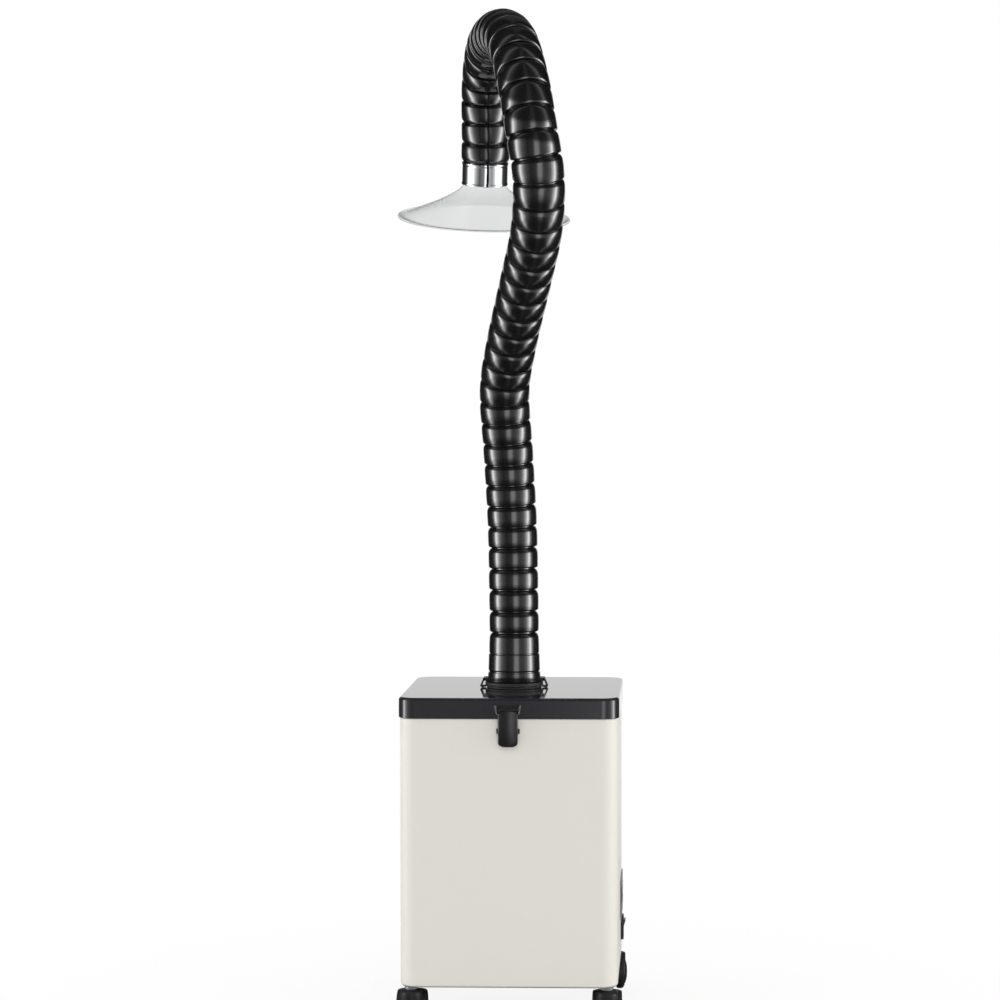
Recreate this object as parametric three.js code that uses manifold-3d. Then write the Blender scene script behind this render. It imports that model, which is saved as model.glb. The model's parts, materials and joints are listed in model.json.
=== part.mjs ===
// A floor-standing fume extraction arm: filter cabinet on casters, hinged lid, jointed hose and clear hood.
// Millimetres, +Z up, front towards -Y. The origin is the middle of the raised pad under the base tray.
import * as THREE from 'three';
import { mergeVertices } from 'three/addons/utils/BufferGeometryUtils.js';
import Module from 'manifold-3d';

const wasm = await Module();
wasm.setup();

// Clearances
const SEAT = 0.3; // between pieces that are fixed together
const RUN = 0.4; // between pieces that turn or slide on each other
const OVERLAP = 1; // of shapes joined into one piece

// Cabinet
const CABINET_WIDTH = 300;
const CABINET_DEPTH = 300;
const CABINET_HEIGHT = 371; // lower edge of the shell to the lid rim
const CORNER_RADIUS = 22;
const CORNER_STEPS = 4;
const SHEET = 1.5;
const LEDGE = 10; // folded ledge under the lid rim
const TRAY_FLANGE = 14;
const PAD_SIZE = 150;
const PAD_DROP = 2; // raised pad under the tray

// Lid and seal
const LID_HEIGHT = 28;
const LID_OVERHANG = 2;
const LID_WALL = 2.5;
const LID_TOP = 3;
const LID_ROUND = 4;
const SEAL_LIP = 2.2; // rubber on each side of the upstand
const SEAL_CROWN = 3.5; // rubber above the upstand
const SEAL_GRIP = 6; // depth of the seal's slot

// Lid hinge
const HINGE_LENGTH = 120;
const HINGE_LEAF = 2;
const HINGE_LEAF_HEIGHT = 24;
const HINGE_KNUCKLE_RADIUS = 4;
const HINGE_PIN_RADIUS = 2;
const HINGE_HEAD = 2;
const HINGE_HEAD_RADIUS = 3;

// Latch
const LATCH_WIDTH = 28;
const LATCH_DROP = 51; // pin to the lower end of the lever
const LATCH_THICKNESS = 4.5;
const LATCH_START = 0.93; // angle on the barrel where the lever's front leaves it
const LATCH_BELLY = 0.45; // share of the drop where the lever stands out most
const LATCH_PIN_RADIUS = 1.5;
const LATCH_BARREL_RADIUS = 3.6;
const LATCH_EAR = 2.5;
const LATCH_BACK = 1.5;
const LATCH_PIN_BELOW_TOP = 15; // pin below the top of the lid
const KEEPER_WIDTH = 32;
const KEEPER_HEIGHT = 7;
const KEEPER_DROP = 30; // latch pin to the keeper
const KEEPER_PROUD = 4;
const KEEPER_EDGE = 2.4; // upper and lower edge, less proud than its middle

// Inlet flange, cuff and clips
const FLANGE_RADIUS = 39;
const FLANGE_HEIGHT = 8;
const FLANGE_LIP = 2;
const FLANGE_LIP_HEIGHT = 4.5;
const SPIGOT_RADIUS = 29;
const SPIGOT_WALL = 3;
const SPIGOT_RISE = 28; // above the lid
const SPIGOT_DROP = 8; // below the underside of the lid
const CUFF_FLARE = 39; // height of the flare
const CUFF_FLARE_PULL = 14; // height where the flare would meet the hose if it were straight
const CUFF_FOOT_RADIUS = 39;
const CLIP_WIDTH = 14;
const CLIP_STRIP = 1.8;
const CLIP_REACH = 6.5; // outer face of the clip beyond the flange lip
const CLIP_PIVOT_RISE = 3.5; // pivot above the foot of the cuff
const CLIP_BARREL_RADIUS = 2.4;
const CLIP_PIN_RADIUS = 1.2;
const CLIP_LUG = 2.4;

// Hose
const HOSE_RADIUS = 35;
const HOSE_GROOVE = 2.8; // depth of the groove between two cups
const HOSE_BORE = 27; // radius
const BALL_RADIUS = 31.2;
const BALL_RISE = 13; // top of a ball above its centre
const BALL_STEP = 0.4; // share of each half of a ball where its facets meet
const SKIRT_DROP = 2; // skirt of a cup below the ball centre
const BEND_LIMIT = 15; // degrees each way at a ball
const HOSE_SIDES = 12;
const ROUND_SIDES = 20; // cuff, collar and flange
const CUP_SHOULDER = 0.25; // share of a cup that tapers to the next one
const SECTION_CUPS = [5, 5, 4, 4, 3, 3, 3, 3, 3, 3, 3, 3];
// Middle line of the hose from the ball on the cuff to the ball in the collar, from the lid's top middle.
const HOSE_ROUTE = [
  [0, 0, 79], [-0.5, 0, 130], [-2.5, 0, 230], [-7.5, -10, 333], [-11.5, -30, 420], [1, -68, 488],
  [23.5, -130, 570], [41, -185, 636], [46, -222, 701], [36.5, -228, 766], [25, -205, 830],
  [7.5, -150, 889.5], [-13, -75, 913], [-32.5, 5, 904], [-43, 60, 856], [-45, 84.5, 785], [-46.5, 92.5, 749],
];

// Collar and hood
const COLLAR_RADIUS = 33.8;
const COLLAR_LENGTH = 30; // below the ball centre
const COLLAR_CHAMFER = 1;
const HOOD_NECK_RADIUS = 30.5;
const HOOD_WALL = 2.5;
const HOOD_NECK_ENTRY = 9; // clear of the ball above when the collar is bent
const HOOD_BEAD = 1.2;
const HOOD_BEAD_HEIGHT = 3;
const HOOD_RADIUS = 123.5;
const HOOD_DROP = 50; // foot of the collar to the hood rim
const HOOD_RIM = 1.6; // radius of the bead along the rim
const HOOD_THROAT = [3.5, 0.8]; // pull of the flare near the neck: outwards, and share of the drop
const HOOD_BELL = [0.52, 0.46]; // pull of the flare near the rim: share of the radius, share of the drop
const HOOD_SIDES = 30;

// Filters and fan
const FILTER_GAP = 3; // filter to the upstand
const FILTER_DEPTH = 7; // lid rim to the top of the filters
const DECK_SHEET = 2;
const REST_HEIGHT = 10;
const REST_WIDTH = 3;
const CARBON_HEIGHT = 55;
const HEPA_HEIGHT = 90;
const PREFILTER_HEIGHT = 20;
const FILTER_FRAME = 12;
const FILTER_RECESS = 5;
const FILTER_PLEATS = 9;
const PLEAT_WIDTH = 0.8; // share of the pleats' pitch
const INLET_RADIUS = 60;
const INLET_LIP = 12;
const IMPELLER_RADIUS = 95;
const IMPELLER_HEIGHT = 50;
const IMPELLER_SHEET = 3;
const IMPELLER_BLADES = 7;
const IMPELLER_BLADE = 2.5;
const BLADE_REACH = 0.8; // blade length as a share of hub to rim
const BLADE_LEAN = Math.PI / 5; // of each blade from the radius
const IMPELLER_HUB = 20;
const IMPELLER_GAP = 1.5; // inlet ring to the top of the impeller
const MOTOR_RADIUS = 42;
const MOTOR_HEIGHT = 48;
const MOTOR_FLANGE = 50;
const MOTOR_FLANGE_HEIGHT = 4;
const SHAFT_RADIUS = 5;
const BRACKET_SHEET = 3;
const BRACKET_WIDTH = 60;
const BRACKET_FOOT = 16;
const BRACKET_CLEAR = 16; // impeller to the bracket legs

// Controls on the right side, socket and exhaust at the rear
const PLATE_LENGTH = 104;
const PLATE_HEIGHT = 58;
const PLATE_SHEET = 1.5;
const PLATE_INSET = 72; // middle of the control plate from the rear
const PLATE_MIDDLE_Z = 92;
const PLATE_LAP = 6;
const BOARD_DEPTH = 14;
const SWITCH_HEIGHT = 34;
const SWITCH_WIDTH = 24;
const SWITCH_BEZEL = 2.2;
const SWITCH_FRAME = 3.5;
const SWITCH_BODY_DEPTH = 22;
const SWITCH_MIDDLE_Z = 45;
const ROCKER_PROUD = 2.6;
const ROCKER_DEPTH = 5;
const ROCKER_SINK = 1; // pivot behind the face of the bezel
const ROCKER_ROOM = 2.8; // below the rocker in its well
const ROCKER_KEEL = 0.6; // width of its underside as a share of its top
const ROCKER_TILT = 10; // degrees from level at rest
const TRUNNION_RADIUS = 1.5;
const TRUNNION_LENGTH = 1.4;
const SOCKET_WIDTH = 50;
const SOCKET_HEIGHT = 27;
const SOCKET_FLANGE = 3;
const SOCKET_BODY_WIDTH = 29;
const SOCKET_BODY_HEIGHT = 21.5;
const SOCKET_BODY_DEPTH = 24;
const SOCKET_SHELL = 2.2;
const SOCKET_CAVITY_DEPTH = 20;
const SOCKET_PIN_LENGTH = 14;
const SOCKET_PIN_SIZE = [2, 4];
const SOCKET_PINS = [[-7, -2], [0, 2], [7, -2]]; // from the socket's middle
const SOCKET_INSET = 40; // socket's middle from the right side
const SOCKET_MIDDLE_Z = 45;
const GRILLE_WIDTH = 180;
const GRILLE_HEIGHT = 96;
const GRILLE_SHEET = 3;
const GRILLE_BORDER = 10;
const GRILLE_SLOTS = 8;
const GRILLE_MIDDLE_X = -30;
const GRILLE_MIDDLE_Z = 95;

// Casters
const CASTER_INSET = 15; // swivel axis from the cabinet sides
const CASTER_HEIGHT = 62; // floor to the base tray
const WHEEL_RADIUS = 25;
const WHEEL_WIDTH = 16;
const WHEEL_SPAN = 46; // over both wheels
const CASTER_TRAIL = 15;
const AXLE_RADIUS = 3;
const FENDER_GAP = 2;
const FENDER_WALL = 3;
const NECK_RADIUS = 16; // of the fork round its stem
const STEM_RADIUS = 5;
const STEM_COLLAR_RADIUS = 9;
const STEM_COLLAR = 4;
const STUD_RADIUS = 4;
const NUT_RADIUS = 7.5;
const NUT_HEIGHT = 5;

// Levels and places that follow from these sizes
const TRAY_Z = PAD_DROP;
const RIM_Z = TRAY_Z + CABINET_HEIGHT;
const LID_TOP_Z = RIM_Z + LID_HEIGHT;
const LID_UNDERSIDE_Z = LID_TOP_Z - LID_TOP;
const UPSTAND_Z = LID_UNDERSIDE_Z - SEAT - SEAL_CROWN;
const PREFILTER_Z = RIM_Z - FILTER_DEPTH - PREFILTER_HEIGHT;
const HEPA_Z = PREFILTER_Z - SEAT - HEPA_HEIGHT;
const CARBON_Z = HEPA_Z - SEAT - CARBON_HEIGHT;
const DECK_Z = CARBON_Z - SEAT - REST_HEIGHT - DECK_SHEET;
const HALF_WIDTH = CABINET_WIDTH / 2;
const HALF_DEPTH = CABINET_DEPTH / 2;
const SOCKET_MIDDLE_X = HALF_WIDTH - SOCKET_INSET;
const PLATE_MIDDLE_Y = HALF_DEPTH - PLATE_INSET;

const finish = (color, roughness, metalness) =>
  new THREE.MeshStandardMaterial({ color, roughness, metalness });
const materials = {
  whitePaint: finish(0xdedbd2, 0.45, 0.0),
  glossBlack: finish(0x0c0c0d, 0.12, 0.0),
  hoseBlack: finish(0x121213, 0.3, 0.0),
  mattBlack: finish(0x18181a, 0.6, 0.0),
  chrome: finish(0xd8dadc, 0.08, 1.0),
  steel: finish(0xa9adb0, 0.35, 1.0),
  aluminium: finish(0xb9bcbd, 0.4, 1.0),
  clear: finish(0xd6d8d8, 0.08, 0.0),
  rubber: finish(0x1c1c1d, 0.8, 0.0),
  greyPlate: finish(0x8e9193, 0.5, 0.0),
  filterWhite: finish(0xe8e7e0, 0.9, 0.0),
  carbonGrey: finish(0x3a3b3c, 0.9, 0.0),
  boardGreen: finish(0x2c5a3a, 0.6, 0.0),
};

// Closed geometry: shared points merged, empty triangles dropped, faces pointing out
function closed(geometry) {
  const bare = new THREE.BufferGeometry();
  bare.setAttribute('position', geometry.getAttribute('position').clone());
  if (geometry.index) bare.setIndex(geometry.index.clone());
  const merged = mergeVertices(bare, 1e-4);
  const position = merged.getAttribute('position');
  const corners = Array.from(merged.index.array);
  const kept = [];
  const a = new THREE.Vector3();
  const b = new THREE.Vector3();
  const c = new THREE.Vector3();
  let volume = 0;
  for (let i = 0; i < corners.length; i += 3) {
    const [p, q, r] = corners.slice(i, i + 3);
    if (p === q || q === r || r === p) continue;
    kept.push(p, q, r);
    a.fromBufferAttribute(position, p);
    b.fromBufferAttribute(position, q);
    c.fromBufferAttribute(position, r);
    volume += a.dot(b.cross(c));
  }
  if (volume < 0) kept.reverse();
  merged.setIndex(kept);
  return merged;
}

function toSolid(geometry) {
  const shell = closed(geometry);
  return new wasm.Manifold(new wasm.Mesh({
    numProp: 3,
    vertProperties: new Float32Array(shell.getAttribute('position').array),
    triVerts: new Uint32Array(shell.index.array),
  }));
}

function fromSolid(solid) {
  const mesh = solid.getMesh();
  const geometry = new THREE.BufferGeometry();
  geometry.setAttribute('position', new THREE.BufferAttribute(mesh.vertProperties, mesh.numProp));
  geometry.setIndex(new THREE.BufferAttribute(mesh.triVerts, 1));
  return geometry;
}

const join = (first, ...others) =>
  fromSolid(others.reduce((solid, other) => solid.add(toSolid(other)), toSolid(first)));
const cut = (first, ...others) =>
  fromSolid(others.reduce((solid, other) => solid.subtract(toSolid(other)), toSolid(first)));

// Box between two corners
function block([x0, y0, z0], [x1, y1, z1]) {
  const geometry = new THREE.BoxGeometry(x1 - x0, y1 - y0, z1 - z0);
  return geometry.translate((x0 + x1) / 2, (y0 + y1) / 2, (z0 + z1) / 2);
}

// Round bar from one height to another, on the Z axis
function rod(radius, z0, z1, segments = 24) {
  const geometry = new THREE.CylinderGeometry(radius, radius, z1 - z0, segments);
  return geometry.rotateX(Math.PI / 2).translate(0, 0, (z0 + z1) / 2);
}
const rodAlongX = (radius, x0, x1, segments = 24) => rod(radius, x0, x1, segments).rotateY(Math.PI / 2);
const rodAlongY = (radius, y0, y1, segments = 24) => rod(radius, -y1, -y0, segments).rotateX(Math.PI / 2);

// Round body about Z from a profile of [radius, height] that closes on itself
function turned(profile, segments) {
  const points = [...profile, profile[0]].map(([radius, height]) => new THREE.Vector2(radius, height));
  return new THREE.LatheGeometry(points, segments).rotateX(Math.PI / 2);
}

// Flat profile in X and Z, given thickness along Y about its middle
function slab(points, width) {
  const shape = new THREE.Shape(points.map(([x, z]) => new THREE.Vector2(x, z)));
  const geometry = new THREE.ExtrudeGeometry(shape, { depth: width, bevelEnabled: false });
  return geometry.translate(0, 0, -width / 2).rotateX(Math.PI / 2);
}

// Body skinned over rings of points: the last ring joins the first, or both ends are capped
function skinned(rings, capped) {
  const count = rings[0].length;
  const points = rings.flat();
  const corners = [];
  const last = capped ? rings.length - 1 : rings.length;
  for (let i = 0; i < last; i++) {
    const lower = i * count;
    const upper = ((i + 1) % rings.length) * count;
    for (let j = 0; j < count; j++) {
      const k = (j + 1) % count;
      corners.push(lower + j, lower + k, upper + k, lower + j, upper + k, upper + j);
    }
  }
  if (capped) {
    const top = (rings.length - 1) * count;
    for (let j = 1; j < count - 1; j++) {
      corners.push(0, j + 1, j, top, top + j, top + j + 1);
    }
  }
  const geometry = new THREE.BufferGeometry().setFromPoints(points);
  geometry.setIndex(corners);
  return geometry;
}

// Outline of the cabinet drawn in by an inset, at one height
function cabinetRing(inset, height) {
  const radius = Math.max(CORNER_RADIUS - inset, 1);
  const x = HALF_WIDTH - inset - radius;
  const y = HALF_DEPTH - inset - radius;
  const steps = CORNER_STEPS;
  const ring = [];
  for (const [quarter, sx, sy] of [[0, 1, 1], [1, -1, 1], [2, -1, -1], [3, 1, -1]]) {
    for (let i = 0; i <= steps; i++) {
      const angle = (quarter + i / steps) * Math.PI / 2;
      const [cos, sin] = [Math.cos(angle), Math.sin(angle)];
      ring.push(new THREE.Vector3(sx * x + radius * cos, sy * y + radius * sin, height));
    }
  }
  return ring;
}
const cabinetBody = (profile, capped = false) =>
  skinned(profile.map(([inset, height]) => cabinetRing(inset, height)), capped);

const model = new THREE.Group();
const joints = [];

function add(parent, name, geometry, material) {
  const shell = closed(geometry);
  shell.computeVertexNormals();
  const mesh = new THREE.Mesh(shell, material);
  mesh.name = name;
  parent.add(mesh);
  return mesh;
}

function groupAt(parent, x, y, z, turn = 0) {
  const group = new THREE.Group();
  group.position.set(x, y, z);
  group.rotation.z = turn;
  parent.add(group);
  return group;
}

// Notes where a joint turns, for the part's record
function pivot(name, at, axis) {
  joints.push({ name, at, axis });
}

// Cabinet shell: folded sheet with a ledge and an upstand under the lid
function cabinetShell(cutouts) {
  const shell = cabinetBody([
    [0, TRAY_Z], [0, RIM_Z - SEAT], [LEDGE - SHEET, RIM_Z - SEAT], [LEDGE - SHEET, UPSTAND_Z],
    [LEDGE, UPSTAND_Z], [LEDGE, RIM_Z - SEAT - SHEET], [SHEET, RIM_Z - SEAT - SHEET], [SHEET, TRAY_Z],
  ]);
  return cut(shell, ...cutouts);
}

// Base tray: pan inside the foot of the shell, with a raised pad below and holes for the caster studs
function baseTray(studs) {
  const edge = SHEET + SEAT;
  const pan = cabinetBody([
    [edge, TRAY_Z], [edge, TRAY_Z + TRAY_FLANGE], [edge + SHEET, TRAY_Z + TRAY_FLANGE],
    [edge + SHEET, TRAY_Z + SHEET],
  ], true);
  const half = PAD_SIZE / 2;
  const pad = block([-half, -half, 0], [half, half, TRAY_Z + SHEET / 2]);
  const holes = studs.map(([x, y]) =>
    rod(STUD_RADIUS + SEAT, TRAY_Z - SHEET, TRAY_Z + 2 * SHEET, 10).translate(x, y, 0));
  return cut(join(pan, pad), ...holes);
}

function lidSeal() {
  const outer = LEDGE - SHEET - SEAT;
  const inner = LEDGE + SEAT;
  const foot = UPSTAND_Z - SEAL_GRIP;
  const crown = UPSTAND_Z + SEAL_CROWN;
  return cabinetBody([
    [outer - SEAL_LIP, foot], [outer - SEAL_LIP, crown], [inner + SEAL_LIP, crown], [inner + SEAL_LIP, foot],
    [inner, foot], [inner, UPSTAND_Z + SEAT], [outer, UPSTAND_Z + SEAT], [outer, foot],
  ]);
}

function lidShell() {
  const inner = LID_WALL - LID_OVERHANG;
  const outer = -LID_OVERHANG;
  const edge = [0, 1, 2, 3].map((i) => {
    const angle = i * Math.PI / 6;
    return [outer + LID_ROUND * (1 - Math.cos(angle)), LID_TOP_Z - LID_ROUND * (1 - Math.sin(angle))];
  });
  const shell = cabinetBody([[inner, LID_UNDERSIDE_Z], [inner, RIM_Z], [outer, RIM_Z], ...edge], true);
  const hole = rod(SPIGOT_RADIUS + SEAT, LID_UNDERSIDE_Z - LID_TOP, LID_TOP_Z + LID_TOP, 28);
  return cut(shell, hole);
}

// Lid hinge at the rear, its axis level with the lid rim
const hingeY = HALF_DEPTH + LID_OVERHANG + SEAT + HINGE_KNUCKLE_RADIUS;
const hingeZ = RIM_Z;

function hingeLeaf(knuckles, plate) {
  const bore = rodAlongX(HINGE_PIN_RADIUS + RUN / 2, -HINGE_LENGTH, HINGE_LENGTH, 12)
    .translate(0, hingeY, hingeZ);
  const barrels = knuckles.map(([x0, x1]) =>
    rodAlongX(HINGE_KNUCKLE_RADIUS, x0, x1, 12).translate(0, hingeY, hingeZ));
  return cut(join(plate, ...barrels), bore);
}

function lidHinge(root, lid) {
  const half = HINGE_LENGTH / 2;
  const third = HINGE_LENGTH / 6;
  const outer = [[-half, -third - RUN], [third + RUN, half]];
  const clear = HINGE_KNUCKLE_RADIUS + 2 * RUN;
  const wallY = HALF_DEPTH + SEAT;
  const skirtY = HALF_DEPTH + LID_OVERHANG + SEAT;
  const plateZ = hingeZ - clear;
  const lower = block([-half, wallY, plateZ - HINGE_LEAF_HEIGHT], [half, wallY + HINGE_LEAF, plateZ]);
  const webs = outer.map(([x0, x1]) =>
    block([x0, wallY, plateZ - HINGE_LEAF], [x1, hingeY, hingeZ - SEAT]));
  const lowerLeaf = cut(join(lower, ...webs), ...outer.map(([x0, x1]) =>
    block([x0 - RUN, wallY - RUN, hingeZ - SEAT - LID_OVERHANG], [x1 + RUN, skirtY, hingeZ])));
  add(root, 'hinge_leaf_cabinet', hingeLeaf(outer, lowerLeaf), materials.steel);
  const upper = block([-half, skirtY, hingeZ + clear], [half, skirtY + HINGE_LEAF, LID_TOP_Z - LID_ROUND]);
  const web = block([-third, skirtY, hingeZ], [third, skirtY + HINGE_LEAF, hingeZ + clear + HINGE_LEAF]);
  add(lid, 'hinge_leaf_lid', hingeLeaf([[-third, third]], join(upper, web)), materials.steel);
  const shank = rodAlongX(HINGE_PIN_RADIUS, -half - HINGE_HEAD, half + HINGE_HEAD, 12);
  const heads = [-1, 1].map((side) => {
    const ends = [side * (half + SEAT), side * (half + SEAT + HINGE_HEAD)].sort((a, b) => a - b);
    return rodAlongX(HINGE_HEAD_RADIUS, ends[0], ends[1], 12);
  });
  add(root, 'hinge_pin', join(shank, ...heads).translate(0, hingeY, hingeZ), materials.steel);
  pivot('lid_hinge', [0, hingeY, hingeZ], [-1, 0, 0]);
}

// Front latch: ears and pin on the lid, a curved lever, and the keeper on the cabinet
function frontLatch(root, lid) {
  const skirtY = -(HALF_DEPTH + LID_OVERHANG + SEAT);
  const pinY = skirtY - LATCH_BACK - LATCH_BARREL_RADIUS - RUN;
  const pinZ = LID_TOP_Z - LATCH_PIN_BELOW_TOP;
  const half = LATCH_WIDTH / 2;
  const tall = LATCH_BARREL_RADIUS + RUN;
  const wide = half + LATCH_EAR;
  const back = block([-wide, skirtY - LATCH_BACK, pinZ - tall], [wide, skirtY, pinZ + tall]);
  const ears = [-wide, half].map((x) => join(
    block([x, pinY, pinZ - LATCH_BARREL_RADIUS], [x + LATCH_EAR, skirtY - RUN, pinZ + LATCH_BARREL_RADIUS]),
    rodAlongX(LATCH_BARREL_RADIUS, x, x + LATCH_EAR, 12).translate(0, pinY, pinZ),
  ));
  const bore = rodAlongX(LATCH_PIN_RADIUS + SEAT, -LATCH_WIDTH, LATCH_WIDTH, 12).translate(0, pinY, pinZ);
  add(lid, 'latch_bracket', cut(join(back, ...ears), bore), materials.mattBlack);
  const pin = rodAlongX(LATCH_PIN_RADIUS, -wide, wide, 12).translate(0, pinY, pinZ);
  add(lid, 'latch_pin', pin, materials.steel);

  const keeperY = -(HALF_DEPTH + SEAT);
  const keeperZ = pinZ - KEEPER_DROP;
  const bead = KEEPER_HEIGHT / 2;
  const keeper = slab([
    [0, -bead], [KEEPER_EDGE, -bead], [KEEPER_PROUD, 0], [KEEPER_EDGE, bead], [0, bead],
  ], KEEPER_WIDTH).rotateZ(-Math.PI / 2).translate(0, keeperY, keeperZ);
  add(root, 'latch_keeper', keeper, materials.mattBlack);

  // Lever drawn in the pin's own frame: first number towards the front, second up
  const latch = groupAt(lid, 0, pinY, pinZ);
  const inside = pinY - keeperY + KEEPER_PROUD + RUN;
  const tip = inside + LATCH_THICKNESS;
  const front = new THREE.QuadraticBezierCurve(
    new THREE.Vector2(Math.cos(LATCH_START), Math.sin(LATCH_START)).multiplyScalar(LATCH_BARREL_RADIUS),
    new THREE.Vector2(tip + LATCH_THICKNESS, -LATCH_DROP * LATCH_BELLY),
    new THREE.Vector2(tip, -LATCH_DROP),
  ).getPoints(8).map((point) => [point.x, point.y]);
  const outline = [...front, [inside, -LATCH_DROP], [inside, 0], [0, LATCH_PIN_RADIUS]];
  const lever = slab(outline, LATCH_WIDTH - 2 * RUN);
  lever.rotateZ(-Math.PI / 2);
  const barrel = rodAlongX(LATCH_BARREL_RADIUS, -half + RUN, half - RUN, 12);
  const eye = rodAlongX(LATCH_PIN_RADIUS + RUN / 2, -LATCH_WIDTH, LATCH_WIDTH, 12);
  add(latch, 'latch_lever', cut(join(lever, barrel), eye), materials.mattBlack);
  pivot('latch_swing', [0, pinY, pinZ], [-1, 0, 0]);
}

// Inlet flange with the spigot that carries the hose cuff
const flangeZ = LID_TOP_Z + SEAT;
const cuffZ = flangeZ + FLANGE_HEIGHT + RUN;
const spigotTop = LID_TOP_Z + SPIGOT_RISE;

function inletFlange() {
  const lip = FLANGE_RADIUS + FLANGE_LIP;
  const top = flangeZ + FLANGE_HEIGHT;
  const lipZ = top - FLANGE_LIP_HEIGHT;
  const bore = SPIGOT_RADIUS - SPIGOT_WALL;
  const foot = LID_UNDERSIDE_Z - SPIGOT_DROP;
  return turned([
    [bore, foot], [SPIGOT_RADIUS, foot], [SPIGOT_RADIUS, flangeZ], [FLANGE_RADIUS, flangeZ],
    [FLANGE_RADIUS, lipZ], [lip, lipZ], [lip, top], [SPIGOT_RADIUS, top], [SPIGOT_RADIUS, spigotTop],
    [bore, spigotTop],
  ], ROUND_SIDES);
}

// Hose middle line, as lengths along the route
const hoseCurve = new THREE.CatmullRomCurve3(
  HOSE_ROUTE.map(([x, y, z]) => new THREE.Vector3(x, y, z + LID_TOP_Z)), false, 'catmullrom', 0.5);
hoseCurve.arcLengthDivisions = 600;
const hoseLength = hoseCurve.getLength();
const cupCount = SECTION_CUPS.reduce((sum, cups) => sum + cups, 0);
const cupPitch = hoseLength / cupCount;
const skirtSwing = (HOSE_RADIUS + SKIRT_DROP) * Math.sin(THREE.MathUtils.degToRad(BEND_LIMIT));
const shoulderDrop = skirtSwing + SKIRT_DROP + RUN;

// Frame of the hose at a length: middle, direction, and two directions across it
function hoseFrame(length) {
  const share = THREE.MathUtils.clamp(length / hoseLength, 0, 1);
  const along = hoseCurve.getTangentAt(share);
  const across = new THREE.Vector3(1, 0, 0).addScaledVector(along, -along.x).normalize();
  return { middle: hoseCurve.getPointAt(share), along, across, over: along.clone().cross(across) };
}

// Ring square to the hose; near a ball it lies on the straight line through that ball's centre
function hoseRing(frame, height, radius, phase = 0) {
  const middle = frame.middle.clone().addScaledVector(frame.along, height);
  const ring = [];
  for (let i = 0; i < HOSE_SIDES; i++) {
    const angle = (i + phase) * 2 * Math.PI / HOSE_SIDES;
    ring.push(middle.clone()
      .addScaledVector(frame.across, radius * Math.cos(angle))
      .addScaledVector(frame.over, radius * Math.sin(angle)));
  }
  return ring;
}
const onBall = (radius, height) => Math.sqrt(radius * radius - height * height);

// A socket's corners lie on a ball wide enough for its flats to clear the ball inside
const SOCKET_STEPS = 4;
function socketProfile(sides) {
  const reach = (BALL_RADIUS + RUN) / Math.cos(Math.PI / sides);
  const arc = Math.acos(HOSE_BORE / reach) / SOCKET_STEPS;
  const radius = reach / Math.cos(arc / 2);
  const top = onBall(radius, HOSE_BORE);
  const heights = [];
  for (let i = 0; i < SOCKET_STEPS; i++) heights.push(top * (1 - i / SOCKET_STEPS));
  return [...heights, 0, -SKIRT_DROP].map((height) => [onBall(radius, height), height]);
}

// A ball's outside, from the shoulder up
const ballHeights = [-shoulderDrop, -shoulderDrop * BALL_STEP, BALL_RISE * BALL_STEP, BALL_RISE];
const ballProfile = ballHeights.map((height) => [onBall(BALL_RADIUS, height), height]);

// Section of cups: a socket at its foot, a ball on top, whose corners meet the flats of the next socket
function hoseSection(start, end, cups) {
  const lower = hoseFrame(start);
  const upper = hoseFrame(end);
  const rings = socketProfile(HOSE_SIDES).map(([radius, height]) => hoseRing(lower, height, radius));
  rings.push(hoseRing(lower, -SKIRT_DROP, HOSE_RADIUS));
  for (let i = 1; i < cups; i++) {
    const foot = start + i * cupPitch;
    rings.push(hoseRing(hoseFrame(foot - cupPitch * CUP_SHOULDER), 0, HOSE_RADIUS));
    rings.push(hoseRing(hoseFrame(foot), 0, HOSE_RADIUS - HOSE_GROOVE));
    rings.push(hoseRing(hoseFrame(foot), 0, HOSE_RADIUS));
  }
  rings.push(hoseRing(upper, -shoulderDrop - HOSE_GROOVE, HOSE_RADIUS));
  rings.push(...ballProfile.map(([radius, height]) => hoseRing(upper, height, radius, 0.5)));
  rings.push(hoseRing(upper, BALL_RISE, HOSE_BORE, 0.5));
  rings.push(hoseRing(upper, -shoulderDrop, HOSE_BORE));
  rings.push(hoseRing(hoseFrame((start + end) / 2), 0, HOSE_BORE));
  return skinned(rings, false);
}

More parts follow.
